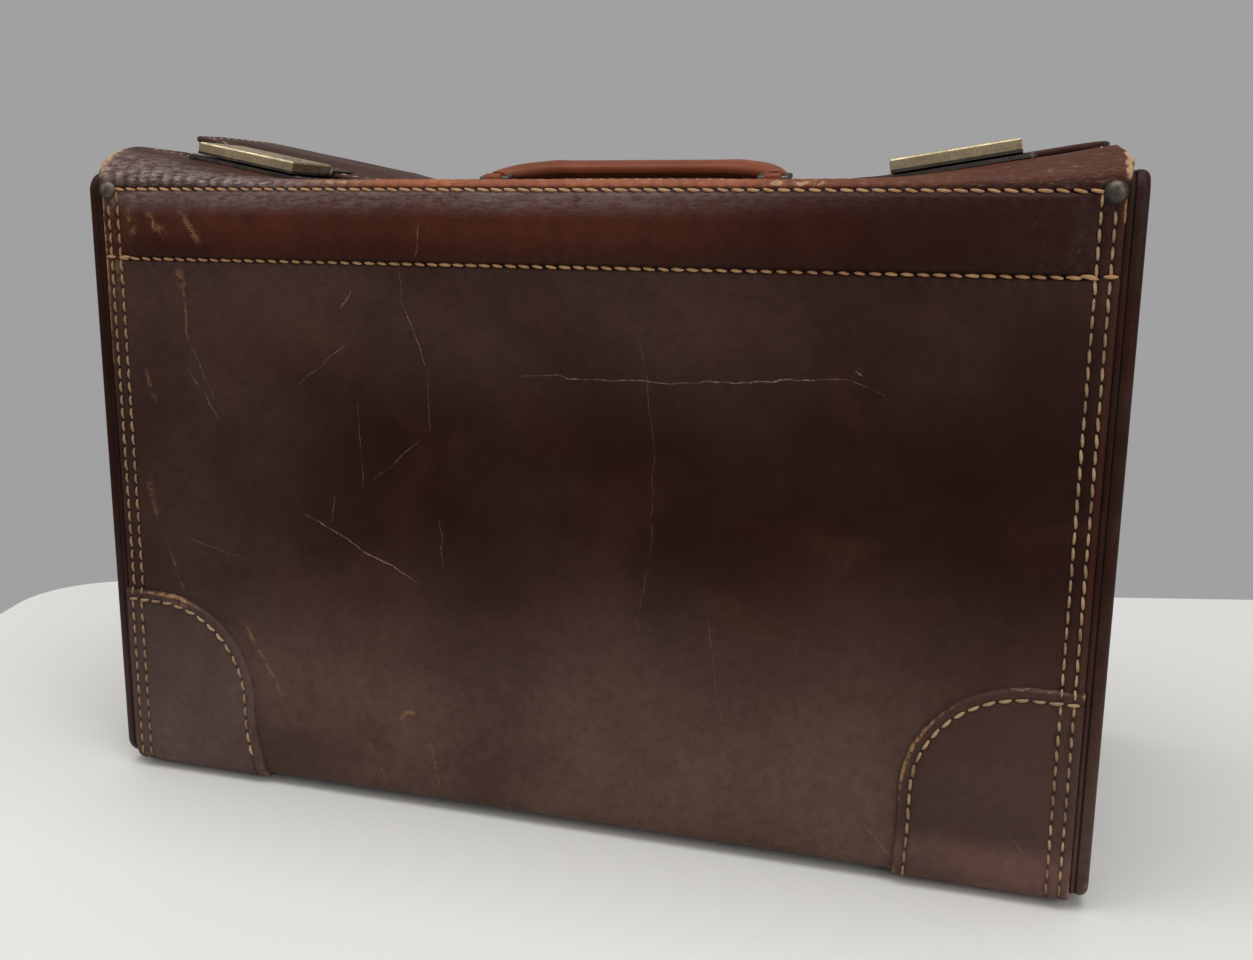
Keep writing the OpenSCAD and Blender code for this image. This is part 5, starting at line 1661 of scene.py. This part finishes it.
def make_finishes() -> dict[str, Material]:
    """Builds every finish once."""
    band = (0.062, 0.0145, 0.0065)
    return {
        "front": HideFinish(name="mahogany_front", marks=FRONT_MARKS, band_tone=band, low_haze=0.92,
                            bloom_and_sheen=(0.093, 0.052, 0.040), bloom_share=0.12).make(),
        "back": HideFinish(name="mahogany_back", band_tone=band, low_haze=0.8, bloom_share=0.12).make(),
        "hide": HideFinish().make(),
        "flap": HideFinish(name="mahogany_flap", deep=(0.028, 0.0088, 0.0058), warm=(0.056, 0.0185, 0.0118),
                           glow=(0.33, 0.103, 0.043), glow_share=0.12, bloom_share=0.2, low_haze=0.0, wrinkle=0.22,
                           creases=0.3, coat=0.0, tan=(0.53, 0.37, 0.215)).make(),
        "patch": HideFinish(name="patch_hide", deep=(0.026, 0.0115, 0.0088), warm=(0.050, 0.0225, 0.0165),
                            glow=(0.085, 0.036, 0.025), bloom_and_sheen=(0.098, 0.060, 0.051), bloom_share=0.25, low_haze=0.7,
                            low_rub=0.75, side_haze=(1.3, 0.3), hairlines=0.12, tan=(0.36, 0.215, 0.115),
                            marks=PATCH_MARKS).make(),
        "grip": HideFinish(name="caramel_hide", deep=(0.108, 0.026, 0.0085), warm=(0.192, 0.047, 0.0155),
                           glow=(0.27, 0.073, 0.025), bloom_and_sheen=(0.215, 0.066, 0.026), bloom_share=0.2, low_haze=0.0,
                           rough=0.38, gloss=0.11, coat=0.02, grain=0.05, wrinkle=0.06, hairlines=0.15,
                           tan=(0.42, 0.20, 0.09)).make(),
        "thread": ThreadFinish().make(),
        "brass": MetalFinish("aged_brass_metal", (0.46, 0.365, 0.225), (0.20, 0.16, 0.095),
                             (0.055, 0.045, 0.03)).make(),
        "bronze": MetalFinish("dark_bronze_metal", (0.105, 0.088, 0.074), (0.038, 0.038, 0.035),
                              (0.16, 0.10, 0.065), 0.75, 0.42).make(),
        "steel": MetalFinish("nickelled_steel", (0.50, 0.50, 0.49), (0.30, 0.29, 0.27), (0.16, 0.14, 0.12),
                             0.5, 0.34).make(),
        "cloth": ClothFinish().make(),
        "board": BoardFinish().make(),
    }


def main() -> None:
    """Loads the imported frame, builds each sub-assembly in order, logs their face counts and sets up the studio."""
    logging.basicConfig(level=logging.INFO, format="%(name)s: %(message)s")
    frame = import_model()
    scene = bpy.context.scene
    scene.view_settings.view_transform = "Standard"
    finishes = make_finishes()
    form = CaseForm()
    rows = {body: Stitching(f"{body}_stitches", body, finishes["thread"])
            for body in ("case_body", "front_cover", "rear_cover", "handle")}
    made: list[Item] = []
    for side, finish in ((Side.FRONT, "front"), (Side.BACK, "back")):
        wall = WallHide(form, side, finishes[finish])
        made.append(wall.build())
        wall.stitches(rows["case_body"])
        for end in End:
            patch = CornerPatch(form, side, end, finishes["patch"])
            made.append(patch.build())
            patch.stitches(rows["case_body"])
    for end in End:
        cap = EndCap(form, end, finishes["hide"])
        made.append(cap.build())
        cap.stitches(rows["case_body"])
    made.append(MouthBinding(finishes["hide"]).build())
    for side, body, reach, half in ((Side.FRONT, "front_cover", 66.5, 218.0),
                                    (Side.BACK, "rear_cover", 140.0, 217.0)):
        flap = FlapHide(form, side, body, reach, half, finishes["flap"], finishes["cloth"], 5 + side.value)
        made += [flap.build(), flap.build_lining()]
        flap.stitches(rows[body])
    handle = Handle(finishes["grip"])
    made.append(handle.build())
    handle.stitches(rows["handle"])
    made += [row.build() for row in rows.values()]
    dresser = Dresser(finishes, frame["nodes"])
    made += dresser.eased()
    dresser.kept()
    for piece in made:
        LOG.info("%s: %d faces", piece.name, len(piece.data.polygons))
    studio = Studio()
    studio.build_table()
    studio.build_world()
    studio.build_lights()
    studio.build_camera()


if __name__ == "__main__":
    main()
